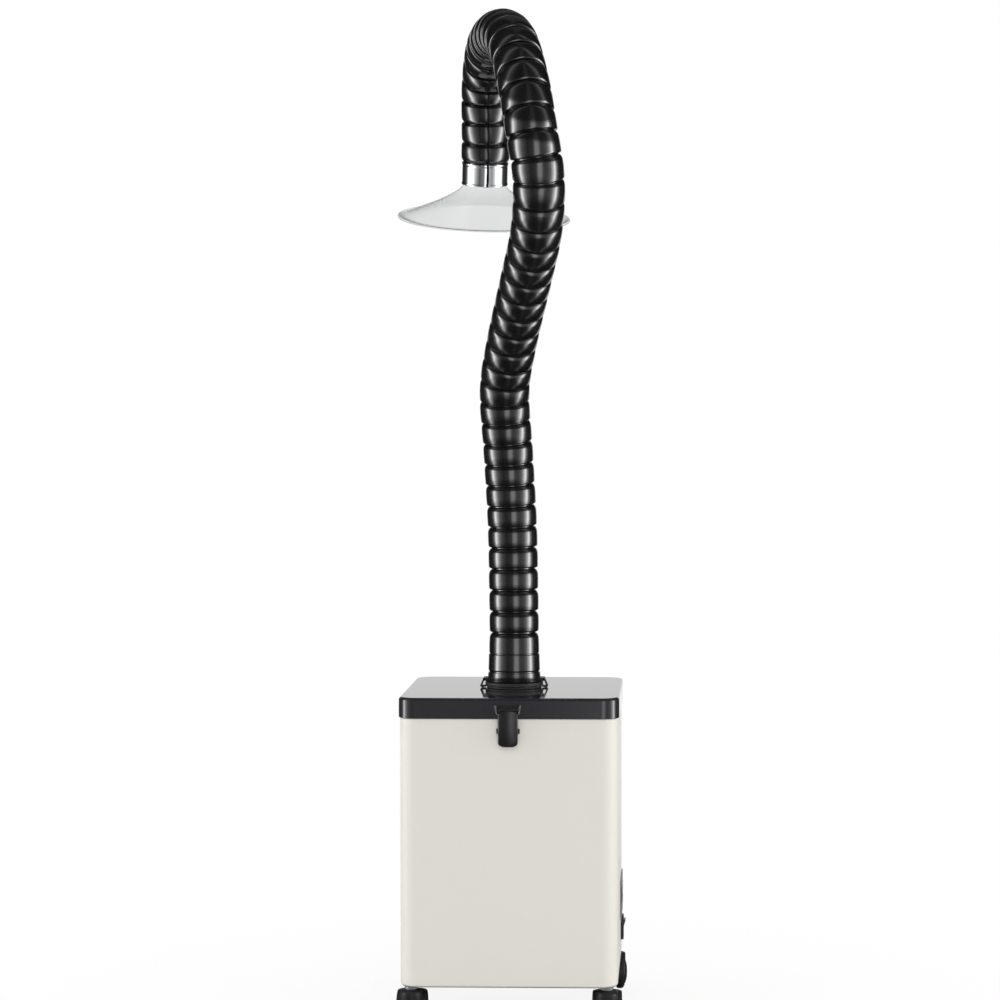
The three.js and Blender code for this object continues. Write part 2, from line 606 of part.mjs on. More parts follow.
// Cuff: flared foot over the spigot, lugs and pins for the clips, a ball on top
function hoseCuff() {
  const ball = HOSE_ROUTE[0][2] + LID_TOP_Z;
  const bore = SPIGOT_RADIUS + 2 * RUN;
  const top = ball - shoulderDrop;
  const flare = new THREE.QuadraticBezierCurve(
    new THREE.Vector2(CUFF_FOOT_RADIUS, cuffZ), new THREE.Vector2(HOSE_RADIUS, cuffZ + CUFF_FLARE_PULL),
    new THREE.Vector2(HOSE_RADIUS, cuffZ + CUFF_FLARE)).getPoints(4);
  const body = turned([
    [bore, cuffZ], ...flare.map((point) => [point.x, point.y]), [HOSE_RADIUS, top - HOSE_GROOVE],
    ...ballProfile.map(([radius, height]) => [radius, ball + height]), [HOSE_BORE, ball + BALL_RISE],
    [HOSE_BORE, spigotTop + SPIGOT_WALL], [bore, spigotTop + RUN],
  ], ROUND_SIDES);
  const parts = [];
  for (const side of [-1, 1]) {
    const x = side * clipPivotX;
    for (const y of [-clipLugY, clipLugY - CLIP_LUG]) {
      const ends = [side * (SPIGOT_RADIUS + SPIGOT_WALL), x].sort((a, b) => a - b);
      const tall = [clipPivotZ - CLIP_BARREL_RADIUS, clipPivotZ + CLIP_BARREL_RADIUS];
      parts.push(block([ends[0], y, tall[0]], [ends[1], y + CLIP_LUG, tall[1]]));
      parts.push(rodAlongY(CLIP_BARREL_RADIUS, y, y + CLIP_LUG, 12).translate(x, 0, clipPivotZ));
    }
    parts.push(rodAlongY(CLIP_PIN_RADIUS, -clipLugY, clipLugY, 10).translate(x, 0, clipPivotZ));
  }
  return join(body, ...parts);
}

// Clips: bent strips that hook under the flange lip
const clipPivotZ = cuffZ + CLIP_PIVOT_RISE;
const clipPivotX = CUFF_FOOT_RADIUS + CLIP_BARREL_RADIUS + RUN;
const clipLugY = CLIP_WIDTH / 2 + RUN + CLIP_LUG;

function clipStrip(side) {
  const lipX = FLANGE_RADIUS + FLANGE_LIP - clipPivotX;
  const outer = lipX + CLIP_REACH;
  const hookZ = flangeZ + FLANGE_HEIGHT - FLANGE_LIP_HEIGHT - clipPivotZ - RUN;
  const tipX = FLANGE_RADIUS + RUN - clipPivotX;
  const inner = outer - CLIP_STRIP;
  const strip = slab([
    [0, CLIP_STRIP / 2], [CLIP_STRIP, CLIP_STRIP / 2], [outer, hookZ + 2 * CLIP_STRIP],
    [outer, hookZ - CLIP_STRIP], [tipX, hookZ - CLIP_STRIP], [tipX, hookZ], [inner, hookZ],
    [inner, hookZ + 1.5 * CLIP_STRIP], [CLIP_STRIP / 2, -CLIP_STRIP],
  ], CLIP_WIDTH);
  const barrel = rodAlongY(CLIP_BARREL_RADIUS, -CLIP_WIDTH / 2, CLIP_WIDTH / 2, 12);
  const eye = rodAlongY(CLIP_PIN_RADIUS + RUN / 2, -CLIP_WIDTH, CLIP_WIDTH, 10);
  const clip = cut(join(strip, barrel), eye);
  return side > 0 ? clip : clip.rotateZ(Math.PI);
}

function hose(arm) {
  add(arm, 'hose_cuff', hoseCuff(), materials.hoseBlack);
  pivot('arm_swivel', [0, 0, cuffZ], [0, 0, 1]);
  for (const [name, side] of [['clip_left', -1], ['clip_right', 1]]) {
    add(groupAt(arm, side * clipPivotX, 0, clipPivotZ), name, clipStrip(side), materials.mattBlack);
    pivot(`${name}_swing`, [side * clipPivotX, 0, clipPivotZ], [0, -side, 0]);
  }
  let start = 0;
  SECTION_CUPS.forEach((cups, i) => {
    const end = start + cups * cupPitch;
    const name = `hose_section_${String(i + 1).padStart(2, '0')}`;
    add(arm, name, hoseSection(start, end, cups), materials.hoseBlack);
    const frame = hoseFrame(start);
    pivot(`${name}_bend`, frame.middle.toArray(), i % 2 ? frame.over.toArray() : frame.across.toArray());
    start = end;
  });
}

// Group standing on the last ball, its Z back up the hose
function hoseEnd(arm) {
  const frame = hoseFrame(hoseLength);
  const end = new THREE.Group();
  end.position.copy(frame.middle);
  end.quaternion.setFromRotationMatrix(new THREE.Matrix4().makeBasis(
    frame.across, frame.over.clone().negate(), frame.along.clone().negate()));
  arm.add(end);
  const axis = frame.along.toArray();
  pivot('collar_bend', frame.middle.toArray(), frame.across.toArray());
  pivot('hood_spin', frame.middle.toArray(), axis);
  return end;
}

const collarFoot = -COLLAR_LENGTH;
const neckTop = collarFoot + HOOD_NECK_ENTRY;

// Chrome collar: socket for the last ball above, groove for the hood's neck below
function hoodCollar() {
  const skirtUp = socketProfile(ROUND_SIDES).reverse().slice(0, -1);
  const socket = skirtUp.map(([radius, height]) => [radius, -height]);
  const groove = HOOD_NECK_RADIUS + HOOD_BEAD + 2 * RUN;
  const mouth = HOOD_NECK_RADIUS + 2 * RUN;
  const shelfZ = neckTop + RUN;
  const beadZ = neckTop - HOOD_BEAD_HEIGHT - RUN;
  return turned([
    [COLLAR_RADIUS, SKIRT_DROP], ...socket, [HOSE_BORE, shelfZ + SHEET], [HOSE_BORE, shelfZ],
    [groove, shelfZ], [groove, beadZ], [mouth, beadZ], [mouth, collarFoot],
    [COLLAR_RADIUS - COLLAR_CHAMFER, collarFoot], [COLLAR_RADIUS, collarFoot + COLLAR_CHAMFER],
  ], ROUND_SIDES);
}

// Clear hood: neck in the collar, a trumpet flare and a beaded rim
function hood() {
  const rimZ = collarFoot - HOOD_DROP;
  const flare = new THREE.CubicBezierCurve(
    new THREE.Vector2(HOOD_NECK_RADIUS, collarFoot),
    new THREE.Vector2(HOOD_NECK_RADIUS + HOOD_THROAT[0], rimZ + HOOD_DROP * HOOD_THROAT[1]),
    new THREE.Vector2(HOOD_RADIUS * HOOD_BELL[0], rimZ + HOOD_DROP * HOOD_BELL[1]),
    new THREE.Vector2(HOOD_RADIUS, rimZ + HOOD_RIM));
  const outside = flare.getPoints(6).map((point) => [point.x, point.y]);
  const inside = outside.map(([radius, height], i) => {
    const [nextRadius, nextHeight] = outside[Math.min(i + 1, outside.length - 1)];
    const [lastRadius, lastHeight] = outside[Math.max(i - 1, 0)];
    const run = new THREE.Vector2(nextRadius - lastRadius, nextHeight - lastHeight).normalize();
    return [radius + run.y * HOOD_WALL, height - run.x * HOOD_WALL];
  }).slice(1, -1).reverse();
  const neck = HOOD_NECK_RADIUS - HOOD_WALL;
  const bead = HOOD_NECK_RADIUS + HOOD_BEAD;
  const beadZ = neckTop - HOOD_BEAD_HEIGHT;
  return turned([
    [neck, neckTop], [bead, neckTop], [bead, beadZ], [HOOD_NECK_RADIUS, beadZ], ...outside,
    [HOOD_RADIUS + HOOD_RIM, rimZ + HOOD_RIM], [HOOD_RADIUS + HOOD_RIM, rimZ],
    [HOOD_RADIUS - HOOD_RIM, rimZ], ...inside, [neck, collarFoot],
  ], HOOD_SIDES);
}

// Fan deck: pan with its flange down, an inlet ring and a raised rest for the filters
function fanDeck() {
  const edge = SHEET + SEAT;
  const pan = cabinetBody([
    [edge + DECK_SHEET, DECK_Z], [edge + DECK_SHEET, DECK_Z - TRAY_FLANGE], [edge, DECK_Z - TRAY_FLANGE],
    [edge, DECK_Z + DECK_SHEET],
  ], true);
  const restEdge = LEDGE + FILTER_GAP + REST_WIDTH;
  const restFoot = DECK_Z + DECK_SHEET / 2;
  const restTop = DECK_Z + DECK_SHEET + REST_HEIGHT;
  const rest = cabinetBody([
    [restEdge, restFoot], [restEdge, restTop],
    [restEdge + REST_WIDTH, restTop], [restEdge + REST_WIDTH, restFoot],
  ]);
  const lip = turned([
    [INLET_RADIUS, DECK_Z + DECK_SHEET], [INLET_RADIUS, DECK_Z - INLET_LIP],
    [INLET_RADIUS + DECK_SHEET, DECK_Z - INLET_LIP], [INLET_RADIUS + DECK_SHEET, DECK_Z + DECK_SHEET],
  ], 24);
  const hole = rod(INLET_RADIUS + DECK_SHEET / 2, DECK_Z - DECK_SHEET, DECK_Z + 2 * DECK_SHEET, 24);
  return join(cut(join(pan, rest), hole), lip);
}

// Filter cartridge: a block with a frame round a recessed, pleated top
function filter(foot, height) {
  const inset = LEDGE + FILTER_GAP;
  const top = foot + height;
  const bed = top - FILTER_RECESS;
  const body = cabinetBody([[inset, foot], [inset, top]], true);
  const well = cabinetBody([[inset + FILTER_FRAME, bed], [inset + FILTER_FRAME, top + FILTER_RECESS]], true);
  const width = CABINET_WIDTH - 2 * (inset + FILTER_FRAME + FILTER_RECESS);
  const depth = CABINET_DEPTH - 2 * (inset + FILTER_FRAME + FILTER_RECESS);
  const pitch = depth / FILTER_PLEATS;
  const flank = pitch * PLEAT_WIDTH / 2;
  const ridges = [];
  for (let i = 0; i < FILTER_PLEATS; i++) {
    const y = -depth / 2 + (i + 0.5) * pitch;
    const ridge = slab([[-flank, -OVERLAP], [flank, -OVERLAP], [0, FILTER_RECESS - OVERLAP]], width);
    ridges.push(ridge.rotateZ(Math.PI / 2).translate(0, y, bed));
  }
  return join(cut(body, well), ...ridges);
}

// Impeller: back plate, backward blades, shroud ring and hub
const impellerTop = DECK_Z - INLET_LIP - IMPELLER_GAP;
const impellerFoot = impellerTop - IMPELLER_HEIGHT;

function impeller() {
  const back = rod(IMPELLER_RADIUS, impellerFoot, impellerFoot + IMPELLER_SHEET);
  const eye = INLET_RADIUS + DECK_SHEET + 2 * RUN + IMPELLER_SHEET;
  const shroud = turned([
    [eye, impellerTop - IMPELLER_SHEET], [IMPELLER_RADIUS, impellerTop - IMPELLER_SHEET],
    [IMPELLER_RADIUS, impellerTop], [eye, impellerTop],
  ], 24);
  const hub = rod(IMPELLER_HUB, impellerFoot, impellerFoot + IMPELLER_HEIGHT / 2, 16);
  const blades = [];
  for (let i = 0; i < IMPELLER_BLADES; i++) {
    const reach = (IMPELLER_RADIUS - IMPELLER_HUB) * BLADE_REACH;
    const blade = block(
      [-reach / 2, -IMPELLER_BLADE / 2, impellerFoot + IMPELLER_SHEET / 2],
      [reach / 2, IMPELLER_BLADE / 2, impellerTop - IMPELLER_SHEET / 2]);
    blade.rotateZ(-BLADE_LEAN).translate((IMPELLER_RADIUS + IMPELLER_HUB) / 2 + IMPELLER_BLADE, 0, 0);
    blades.push(blade.rotateZ(i * 2 * Math.PI / IMPELLER_BLADES));
  }
  const bore = rod(SHAFT_RADIUS + SEAT, impellerFoot - IMPELLER_SHEET, impellerTop, 16);
  return cut(join(back, shroud, hub, ...blades), bore);
}

// Motor on its bracket, the shaft up into the impeller's hub
const motorTop = impellerFoot - BRACKET_SHEET;
const motorFoot = motorTop - MOTOR_HEIGHT;

function motor() {
  const body = rod(MOTOR_RADIUS, motorFoot, motorTop, 28);
  const flange = rod(MOTOR_FLANGE, motorFoot - MOTOR_FLANGE_HEIGHT, motorFoot + OVERLAP, 28);
  const shaft = rod(SHAFT_RADIUS, motorTop - OVERLAP, impellerFoot + IMPELLER_HEIGHT / 2, 16);
  return join(body, flange, shaft);
}

function motorBracket() {
  const top = motorFoot - MOTOR_FLANGE_HEIGHT - SEAT;
  const legX = IMPELLER_RADIUS + BRACKET_CLEAR;
  const half = BRACKET_WIDTH / 2;
  const bar = block([-legX, -half, top - BRACKET_SHEET], [legX, half, top]);
  const sides = [-1, 1].flatMap((side) => {
    const leg = [side * (legX - BRACKET_SHEET), side * legX].sort((a, b) => a - b);
    const foot = [side * (legX - BRACKET_SHEET), side * (legX + BRACKET_FOOT)].sort((a, b) => a - b);
    return [
      block([leg[0], -half, top - BRACKET_SHEET], [leg[1], half, DECK_Z - SEAT]),
      block([foot[0], -half, DECK_Z - SEAT - BRACKET_SHEET], [foot[1], half, DECK_Z - SEAT]),
    ];
  });
  return join(bar, ...sides);
}

// Box seen from the right side: along the wall, upright, and out of it
const onRight = (y0, y1, z0, z1, x0, x1) =>
  block([HALF_WIDTH + x0, y0, z0], [HALF_WIDTH + x1, y1, z1]);
// Box seen from the rear: across the wall, upright, and out of it
const onRear = (x0, x1, z0, z1, y0, y1) =>
  block([x0, HALF_DEPTH + y0, z0], [x1, HALF_DEPTH + y1, z1]);
const about = (middle, size) => [middle - size / 2, middle + size / 2];

const plateY = about(PLATE_MIDDLE_Y, PLATE_LENGTH);
const plateZ = about(PLATE_MIDDLE_Z, PLATE_HEIGHT);
const boardY = about(PLATE_MIDDLE_Y, PLATE_LENGTH - 2 * PLATE_LAP);
const boardZ = about(PLATE_MIDDLE_Z, PLATE_HEIGHT - 2 * PLATE_LAP);
const switchY = about(PLATE_MIDDLE_Y, SWITCH_WIDTH - 2 * SWITCH_FRAME + 2 * SHEET);
const switchZ = about(SWITCH_MIDDLE_Z, SWITCH_HEIGHT - 2 * SWITCH_FRAME + 2 * SHEET);
const socketX = about(SOCKET_MIDDLE_X, SOCKET_BODY_WIDTH);
const socketZ = about(SOCKET_MIDDLE_Z, SOCKET_BODY_HEIGHT);
const grilleX = about(GRILLE_MIDDLE_X, GRILLE_WIDTH);
const grilleZ = about(GRILLE_MIDDLE_Z, GRILLE_HEIGHT);
const wider = ([low, high], by) => [low - by, high + by];

const shellCutouts = () => [
  onRight(...wider(boardY, SEAT), ...wider(boardZ, SEAT), -2 * SHEET, SHEET),
  onRight(...wider(switchY, SEAT), ...wider(switchZ, SEAT), -2 * SHEET, SHEET),
  onRear(...wider(socketX, SEAT), ...wider(socketZ, SEAT), -2 * SHEET, SHEET),
  onRear(...wider(grilleX, -GRILLE_BORDER), ...wider(grilleZ, -GRILLE_BORDER), -2 * SHEET, SHEET),
];

function controls(root) {
  add(root, 'control_plate', onRight(...plateY, ...plateZ, SEAT, SEAT + PLATE_SHEET), materials.greyPlate);
  add(root, 'control_board', onRight(...boardY, ...boardZ, -BOARD_DEPTH, 0), materials.boardGreen);

  const bezelY = about(PLATE_MIDDLE_Y, SWITCH_WIDTH);
  const bezelZ = about(SWITCH_MIDDLE_Z, SWITCH_HEIGHT);
  const wellY = about(PLATE_MIDDLE_Y, SWITCH_WIDTH - 2 * SWITCH_FRAME);
  const wellZ = about(SWITCH_MIDDLE_Z, SWITCH_HEIGHT - 2 * SWITCH_FRAME);
  const face = SEAT + SWITCH_BEZEL;
  const pivotX = HALF_WIDTH + face - ROCKER_SINK;
  const housing = join(
    onRight(...bezelY, ...bezelZ, SEAT, face),
    onRight(...switchY, ...switchZ, -SWITCH_BODY_DEPTH, SEAT + OVERLAP));
  const floor = face - ROCKER_SINK - ROCKER_DEPTH - ROCKER_ROOM;
  const well = onRight(...wellY, ...wellZ, floor, face + OVERLAP);
  const trunnionY = wider(wellY, TRUNNION_LENGTH);
  const holes = rodAlongY(TRUNNION_RADIUS + SEAT, ...trunnionY, 12).translate(pivotX, 0, SWITCH_MIDDLE_Z);
  add(root, 'switch_housing', cut(housing, well, holes), materials.mattBlack);

  // Rocker in its pivot's frame, tipped to one side at rest
  const rocker = groupAt(root, pivotX, PLATE_MIDDLE_Y, SWITCH_MIDDLE_Z);
  rocker.rotation.y = THREE.MathUtils.degToRad(ROCKER_TILT);
  const half = (SWITCH_HEIGHT - 2 * SWITCH_FRAME) / 2 - 3 * RUN;
  const keel = half * ROCKER_KEEL;
  const tip = ROCKER_PROUD + ROCKER_SINK;
  const paddle = slab([
    [-ROCKER_DEPTH, -keel], [0, -half], [tip, -half], [ROCKER_PROUD, 0], [tip, half], [0, half],
    [-ROCKER_DEPTH, keel],
  ], SWITCH_WIDTH - 2 * SWITCH_FRAME - 2 * RUN);
  const stubs = wider(about(0, SWITCH_WIDTH - 2 * SWITCH_FRAME), TRUNNION_LENGTH - SEAT);
  add(rocker, 'power_rocker', join(paddle, rodAlongY(TRUNNION_RADIUS, ...stubs, 12)), materials.glossBlack);
  pivot('rocker_tilt', [pivotX, PLATE_MIDDLE_Y, SWITCH_MIDDLE_Z], [0, -1, 0]);
}

function mainsInlet() {
  const flange = onRear(...about(SOCKET_MIDDLE_X, SOCKET_WIDTH), ...about(SOCKET_MIDDLE_Z, SOCKET_HEIGHT),
    SEAT, SEAT + SOCKET_FLANGE);
  const face = SEAT + SOCKET_FLANGE;
  const body = onRear(...socketX, ...socketZ, face - SOCKET_BODY_DEPTH, SEAT + OVERLAP);
  const floor = face - SOCKET_CAVITY_DEPTH;
  const cavity = onRear(...wider(socketX, -SOCKET_SHELL), ...wider(socketZ, -SOCKET_SHELL),
    floor, face + OVERLAP);
  const blades = SOCKET_PINS.map(([x, z]) => onRear(
    ...about(SOCKET_MIDDLE_X + x, SOCKET_PIN_SIZE[0]), ...about(SOCKET_MIDDLE_Z + z, SOCKET_PIN_SIZE[1]),
    floor - OVERLAP, floor + SOCKET_PIN_LENGTH));
  return join(cut(join(flange, body), cavity), ...blades);
}

function exhaustGrille() {
  const plate = onRear(...grilleX, ...grilleZ, SEAT, SEAT + GRILLE_SHEET);
  const pitch = (GRILLE_HEIGHT - 2 * GRILLE_BORDER) / GRILLE_SLOTS;
  const slots = [];
  for (let i = 0; i < GRILLE_SLOTS; i++) {
    const z = grilleZ[0] + GRILLE_BORDER + (i + 0.5) * pitch;
    const slot = onRear(...wider(grilleX, -2 * GRILLE_BORDER), ...about(z, pitch / 2), 0, 2 * GRILLE_SHEET);
    slots.push(slot);
  }
  return cut(plate, ...slots);
}

// Casters: fixed stem, swivelling fork with its fender, and two wheels on one axle
const floorZ = TRAY_Z - CASTER_HEIGHT;
const casterX = HALF_WIDTH - CASTER_INSET;
const casterY = HALF_DEPTH - CASTER_INSET;
const casterSpots = [['fl', -1, -1], ['fr', 1, -1], ['rl', -1, 1], ['rr', 1, 1]].map(([name, sx, sy]) =>
  [name, sx * casterX, sy * casterY]);
const axleZ = floorZ + WHEEL_RADIUS;
const webHalf = WHEEL_SPAN / 2 - WHEEL_WIDTH - RUN;
const fenderRadius = WHEEL_RADIUS + FENDER_GAP + FENDER_WALL;
const stemFoot = TRAY_Z - SEAT - STEM_COLLAR;

function casterStem() {
  return join(
    rod(STEM_COLLAR_RADIUS, stemFoot, TRAY_Z - SEAT, 12),
    rod(STUD_RADIUS, TRAY_Z - OVERLAP, TRAY_Z + SHEET + NUT_HEIGHT, 8),
    rod(NUT_RADIUS, TRAY_Z + SHEET + SEAT, TRAY_Z + SHEET + SEAT + NUT_HEIGHT, 6),
    rod(STEM_RADIUS, axleZ + AXLE_RADIUS + 2 * FENDER_WALL, stemFoot + OVERLAP, 10));
}

// Fork in the stem's frame: the axle lies across X, trailing along Y
function casterFork() {
  const atAxle = (lying) => lying.translate(0, CASTER_TRAIL, axleZ);
  const outer = atAxle(rodAlongX(fenderRadius, -WHEEL_SPAN / 2, WHEEL_SPAN / 2, 20));
  const inner = WHEEL_RADIUS + FENDER_GAP;
  const wells = [-1, 1].map((side) => {
    const ends = [side * webHalf, side * (WHEEL_SPAN / 2 + FENDER_WALL)].sort((a, b) => a - b);
    return atAxle(rodAlongX(inner, ends[0], ends[1], 20));
  });
  const webFoot = axleZ - AXLE_RADIUS - FENDER_WALL;
  const below = block(
    [-WHEEL_SPAN, CASTER_TRAIL - 2 * fenderRadius, axleZ - 2 * fenderRadius],
    [WHEEL_SPAN, CASTER_TRAIL + 2 * fenderRadius, webFoot]);
  const boss = rod(NECK_RADIUS, axleZ + WHEEL_RADIUS / 2, stemFoot - RUN, 20);
  const bossTrim = atAxle(rodAlongX(inner, -WHEEL_SPAN, WHEEL_SPAN, 20));
  const web = block([-webHalf, 0, webFoot], [webHalf, CASTER_TRAIL, stemFoot - RUN - FENDER_WALL]);
  const bore = rod(STEM_RADIUS + SEAT, axleZ + AXLE_RADIUS + FENDER_WALL, TRAY_Z, 10);
  const axle = atAxle(rodAlongX(AXLE_RADIUS + RUN / 2, -WHEEL_SPAN, WHEEL_SPAN, 12));
  const body = join(cut(outer, ...wells, below), cut(boss, bossTrim), web);
  return cut(body, bore, axle);
}

function casterWheels() {
  const half = WHEEL_SPAN / 2;
  const axle = rodAlongX(AXLE_RADIUS, -half + OVERLAP, half - OVERLAP, 12);
  const wheels = [-1, 1].map((side) => {
    const ends = [side * (half - WHEEL_WIDTH), side * half].sort((a, b) => a - b);
    return rodAlongX(WHEEL_RADIUS, ends[0], ends[1], 20);
  });
  return join(axle, ...wheels);
}

function casters(root) {
  for (const [name, x, y] of casterSpots) {
    const caster = groupAt(root, x, y, 0);
    add(caster, `caster_stem_${name}`, casterStem(), materials.steel);
    add(caster, `caster_fork_${name}`, casterFork(), materials.mattBlack);
    add(groupAt(caster, 0, CASTER_TRAIL, axleZ), `caster_wheels_${name}`, casterWheels(), materials.rubber);
    pivot(`caster_swivel_${name}`, [x, y, stemFoot], [0, 0, 1]);
    pivot(`caster_roll_${name}`, [x, y + CASTER_TRAIL, axleZ], [1, 0, 0]);
  }
}

// The cabinet with what it holds
add(model, 'cabinet_shell', cabinetShell(shellCutouts()), materials.whitePaint);
add(model, 'base_tray', baseTray(casterSpots.map(([, x, y]) => [x, y])), materials.whitePaint);
add(model, 'lid_seal', lidSeal(), materials.rubber);
add(model, 'fan_deck', fanDeck(), materials.steel);
add(model, 'carbon_filter', filter(CARBON_Z, CARBON_HEIGHT), materials.carbonGrey);
add(model, 'hepa_filter', filter(HEPA_Z, HEPA_HEIGHT), materials.filterWhite);
add(model, 'pre_filter', filter(PREFILTER_Z, PREFILTER_HEIGHT), materials.filterWhite);
add(model, 'fan_motor', motor(), materials.aluminium);
add(model, 'motor_bracket', motorBracket(), materials.steel);
add(model, 'impeller', impeller(), materials.mattBlack);
pivot('impeller_spin', [0, 0, impellerFoot], [0, 0, 1]);
controls(model);
add(model, 'mains_inlet', mainsInlet(), materials.mattBlack);
add(model, 'exhaust_grille', exhaustGrille(), materials.mattBlack);
casters(model);

// The lid with its hinge and latch
const lid = new THREE.Group();
model.add(lid);
add(lid, 'lid', lidShell(), materials.glossBlack);
add(lid, 'inlet_flange', inletFlange(), materials.mattBlack);
lidHinge(model, lid);
frontLatch(model, lid);

// The hose with its collar and hood
const arm = new THREE.Group();
lid.add(arm);
hose(arm);
const end = hoseEnd(arm);
add(end, 'hood_collar', hoodCollar(), materials.chrome);
add(end, 'hood', hood(), materials.clear);

model.userData.joints = joints;

export default model;
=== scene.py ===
"""Looks of a floor-standing fume extraction arm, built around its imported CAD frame.

Metres, +Z up, front towards -Y. Sizes written in millimetres are turned into metres by MM.
"""
import json
import math

import bmesh
import bpy
from mathutils import Matrix, Vector


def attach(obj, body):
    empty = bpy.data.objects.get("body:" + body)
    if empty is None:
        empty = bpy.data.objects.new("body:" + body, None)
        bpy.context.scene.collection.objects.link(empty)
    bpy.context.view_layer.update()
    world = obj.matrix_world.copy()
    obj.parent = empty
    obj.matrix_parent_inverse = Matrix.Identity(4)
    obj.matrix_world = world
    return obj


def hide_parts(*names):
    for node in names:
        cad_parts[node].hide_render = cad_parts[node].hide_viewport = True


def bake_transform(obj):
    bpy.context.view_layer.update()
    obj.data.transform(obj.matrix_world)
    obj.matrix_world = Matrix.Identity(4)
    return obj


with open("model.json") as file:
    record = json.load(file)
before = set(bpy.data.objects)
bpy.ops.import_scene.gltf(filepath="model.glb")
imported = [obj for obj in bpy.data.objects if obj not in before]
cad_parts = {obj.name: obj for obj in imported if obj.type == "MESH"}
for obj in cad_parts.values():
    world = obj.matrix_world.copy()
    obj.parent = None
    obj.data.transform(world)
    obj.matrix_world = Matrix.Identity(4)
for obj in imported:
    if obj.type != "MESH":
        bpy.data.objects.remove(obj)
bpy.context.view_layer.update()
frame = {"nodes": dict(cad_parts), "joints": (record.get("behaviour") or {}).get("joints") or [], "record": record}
MM = 0.001

# Sizes repeated from the part's source, in millimetres; a middle is a place across its face and a height
SEAT = 0.3
RUN = 0.4
HALF = 150
CORNER = 22
SHEET = 1.5
LEDGE = 10
TRAY_Z = 2
CABINET_HEIGHT = 371
LID_HEIGHT = 28
LID_OVERHANG = 2
LID_WALL = 2.5
LID_TOP = 3
LID_ROUND = 4
SEAL_LIP = 2.2
SEAL_CROWN = 3.5
SEAL_GRIP = 6
HINGE_LEAF = 2
LATCH_DROP = 51
LATCH_BARREL_RADIUS = 3.6
FLANGE_RADIUS = 39
FLANGE_HEIGHT = 8
FLANGE_LIP = 2
FLANGE_LIP_HEIGHT = 4.5
SPIGOT_RADIUS = 29
SPIGOT_WALL = 3
SPIGOT_RISE = 28
SPIGOT_DROP = 8
CUFF_FOOT = 39
CLIP_WIDTH = 14
CLIP_BARREL_RADIUS = 2.4
CLIP_PIN_RADIUS = 1.2
CLIP_LUG = 2.4
HOSE_RADIUS = 35
HOSE_BORE = 27
SECTION_CUPS = [5, 5, 4, 4, 3, 3, 3, 3, 3, 3, 3, 3]
HOSE_ROUTE = [
    (0, 0, 79), (-0.5, 0, 130), (-2.5, 0, 230), (-7.5, -10, 333), (-11.5, -30, 420), (1, -68, 488),
    (23.5, -130, 570), (41, -185, 636), (46, -222, 701), (36.5, -228, 766), (25, -205, 830),
    (7.5, -150, 889.5), (-13, -75, 913), (-32.5, 5, 904), (-43, 60, 856), (-45, 84.5, 785),
    (-46.5, 92.5, 749),
]
COLLAR_RADIUS = 33.8
COLLAR_LENGTH = 30
HOOD_NECK = 30.5
HOOD_WALL = 2.5
HOOD_NECK_ENTRY = 9
HOOD_BEAD = 1.2
HOOD_BEAD_HEIGHT = 3
HOOD_RADIUS = 123.5
HOOD_DROP = 50
HOOD_RIM = 1.6
HOOD_THROAT = (3.5, 0.8)
HOOD_BELL = (0.52, 0.46)
FILTER_GAP = 3
FILTER_DEPTH = 7
FILTER_FRAME = 12
PREFILTER_HEIGHT = 20
PLATE_LENGTH = 104
PLATE_HEIGHT = 58
PLATE_SHEET = 1.5
PLATE_LAP = 6
PLATE_MIDDLE = (78, 92)
SWITCH_WIDTH = 24
SWITCH_HEIGHT = 34
SWITCH_BEZEL = 2.2
SWITCH_LAP = 2
SWITCH_MIDDLE = (78, 45)
SOCKET_BODY_WIDTH = 29
SOCKET_BODY_HEIGHT = 21.5
SOCKET_FLANGE = 3
SOCKET_MIDDLE = (110, 45)
SOCKET_PINS = [(-7, -2), (0, 2), (7, -2)]
GRILLE_WIDTH = 180
GRILLE_HEIGHT = 96
GRILLE_SHEET = 3
GRILLE_BORDER = 10
GRILLE_MIDDLE = (-30, 95)
CASTER_INSET = 15
CASTER_HEIGHT = 62
CASTER_TRAIL = 15
WHEEL_RADIUS = 25
WHEEL_WIDTH = 16
WHEEL_SPAN = 46
FENDER_GAP = 2
FENDER_WALL = 3
NECK_RADIUS = 16
STEM_RADIUS = 5
AXLE_RADIUS = 3

# Heights and places that follow from them
RIM_Z = TRAY_Z + CABINET_HEIGHT
LID_TOP_Z = RIM_Z + LID_HEIGHT
LID_UNDER_Z = LID_TOP_Z - LID_TOP
UPSTAND_Z = LID_UNDER_Z - SEAT - SEAL_CROWN
FLANGE_Z = LID_TOP_Z + SEAT
CUFF_Z = FLANGE_Z + FLANGE_HEIGHT + RUN
SPIGOT_Z = LID_TOP_Z + SPIGOT_RISE
FLOOR_Z = TRAY_Z - CASTER_HEIGHT
FACE = HALF + SEAT
PLAY = 2 * RUN


def joint(name):
    """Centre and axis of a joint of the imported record."""
    found = next(j for j in frame["joints"] if j["name"] == name)
    return Vector(found["pos_m"]), Vector(found["axis"])


# Camera at the photograph's viewing angle

SENSOR = 36
LENS = 100.55
SHIFT = -0.092
CAMERA_PLACE = (0.2265, -3.952, 0.8075)
CAMERA_DIP = 2.033
CAMERA_TURN = 1.682


def make_camera():
    data = bpy.data.cameras.new("camera")
    data.sensor_width = SENSOR
    data.lens = LENS
    data.shift_x = SHIFT
    camera = bpy.data.objects.new("camera", data)
    camera.location = CAMERA_PLACE
    camera.rotation_euler = (math.radians(90 - CAMERA_DIP), 0, math.radians(CAMERA_TURN))
    bpy.context.scene.collection.objects.link(camera)
    bpy.context.scene.camera = camera


# Node helpers

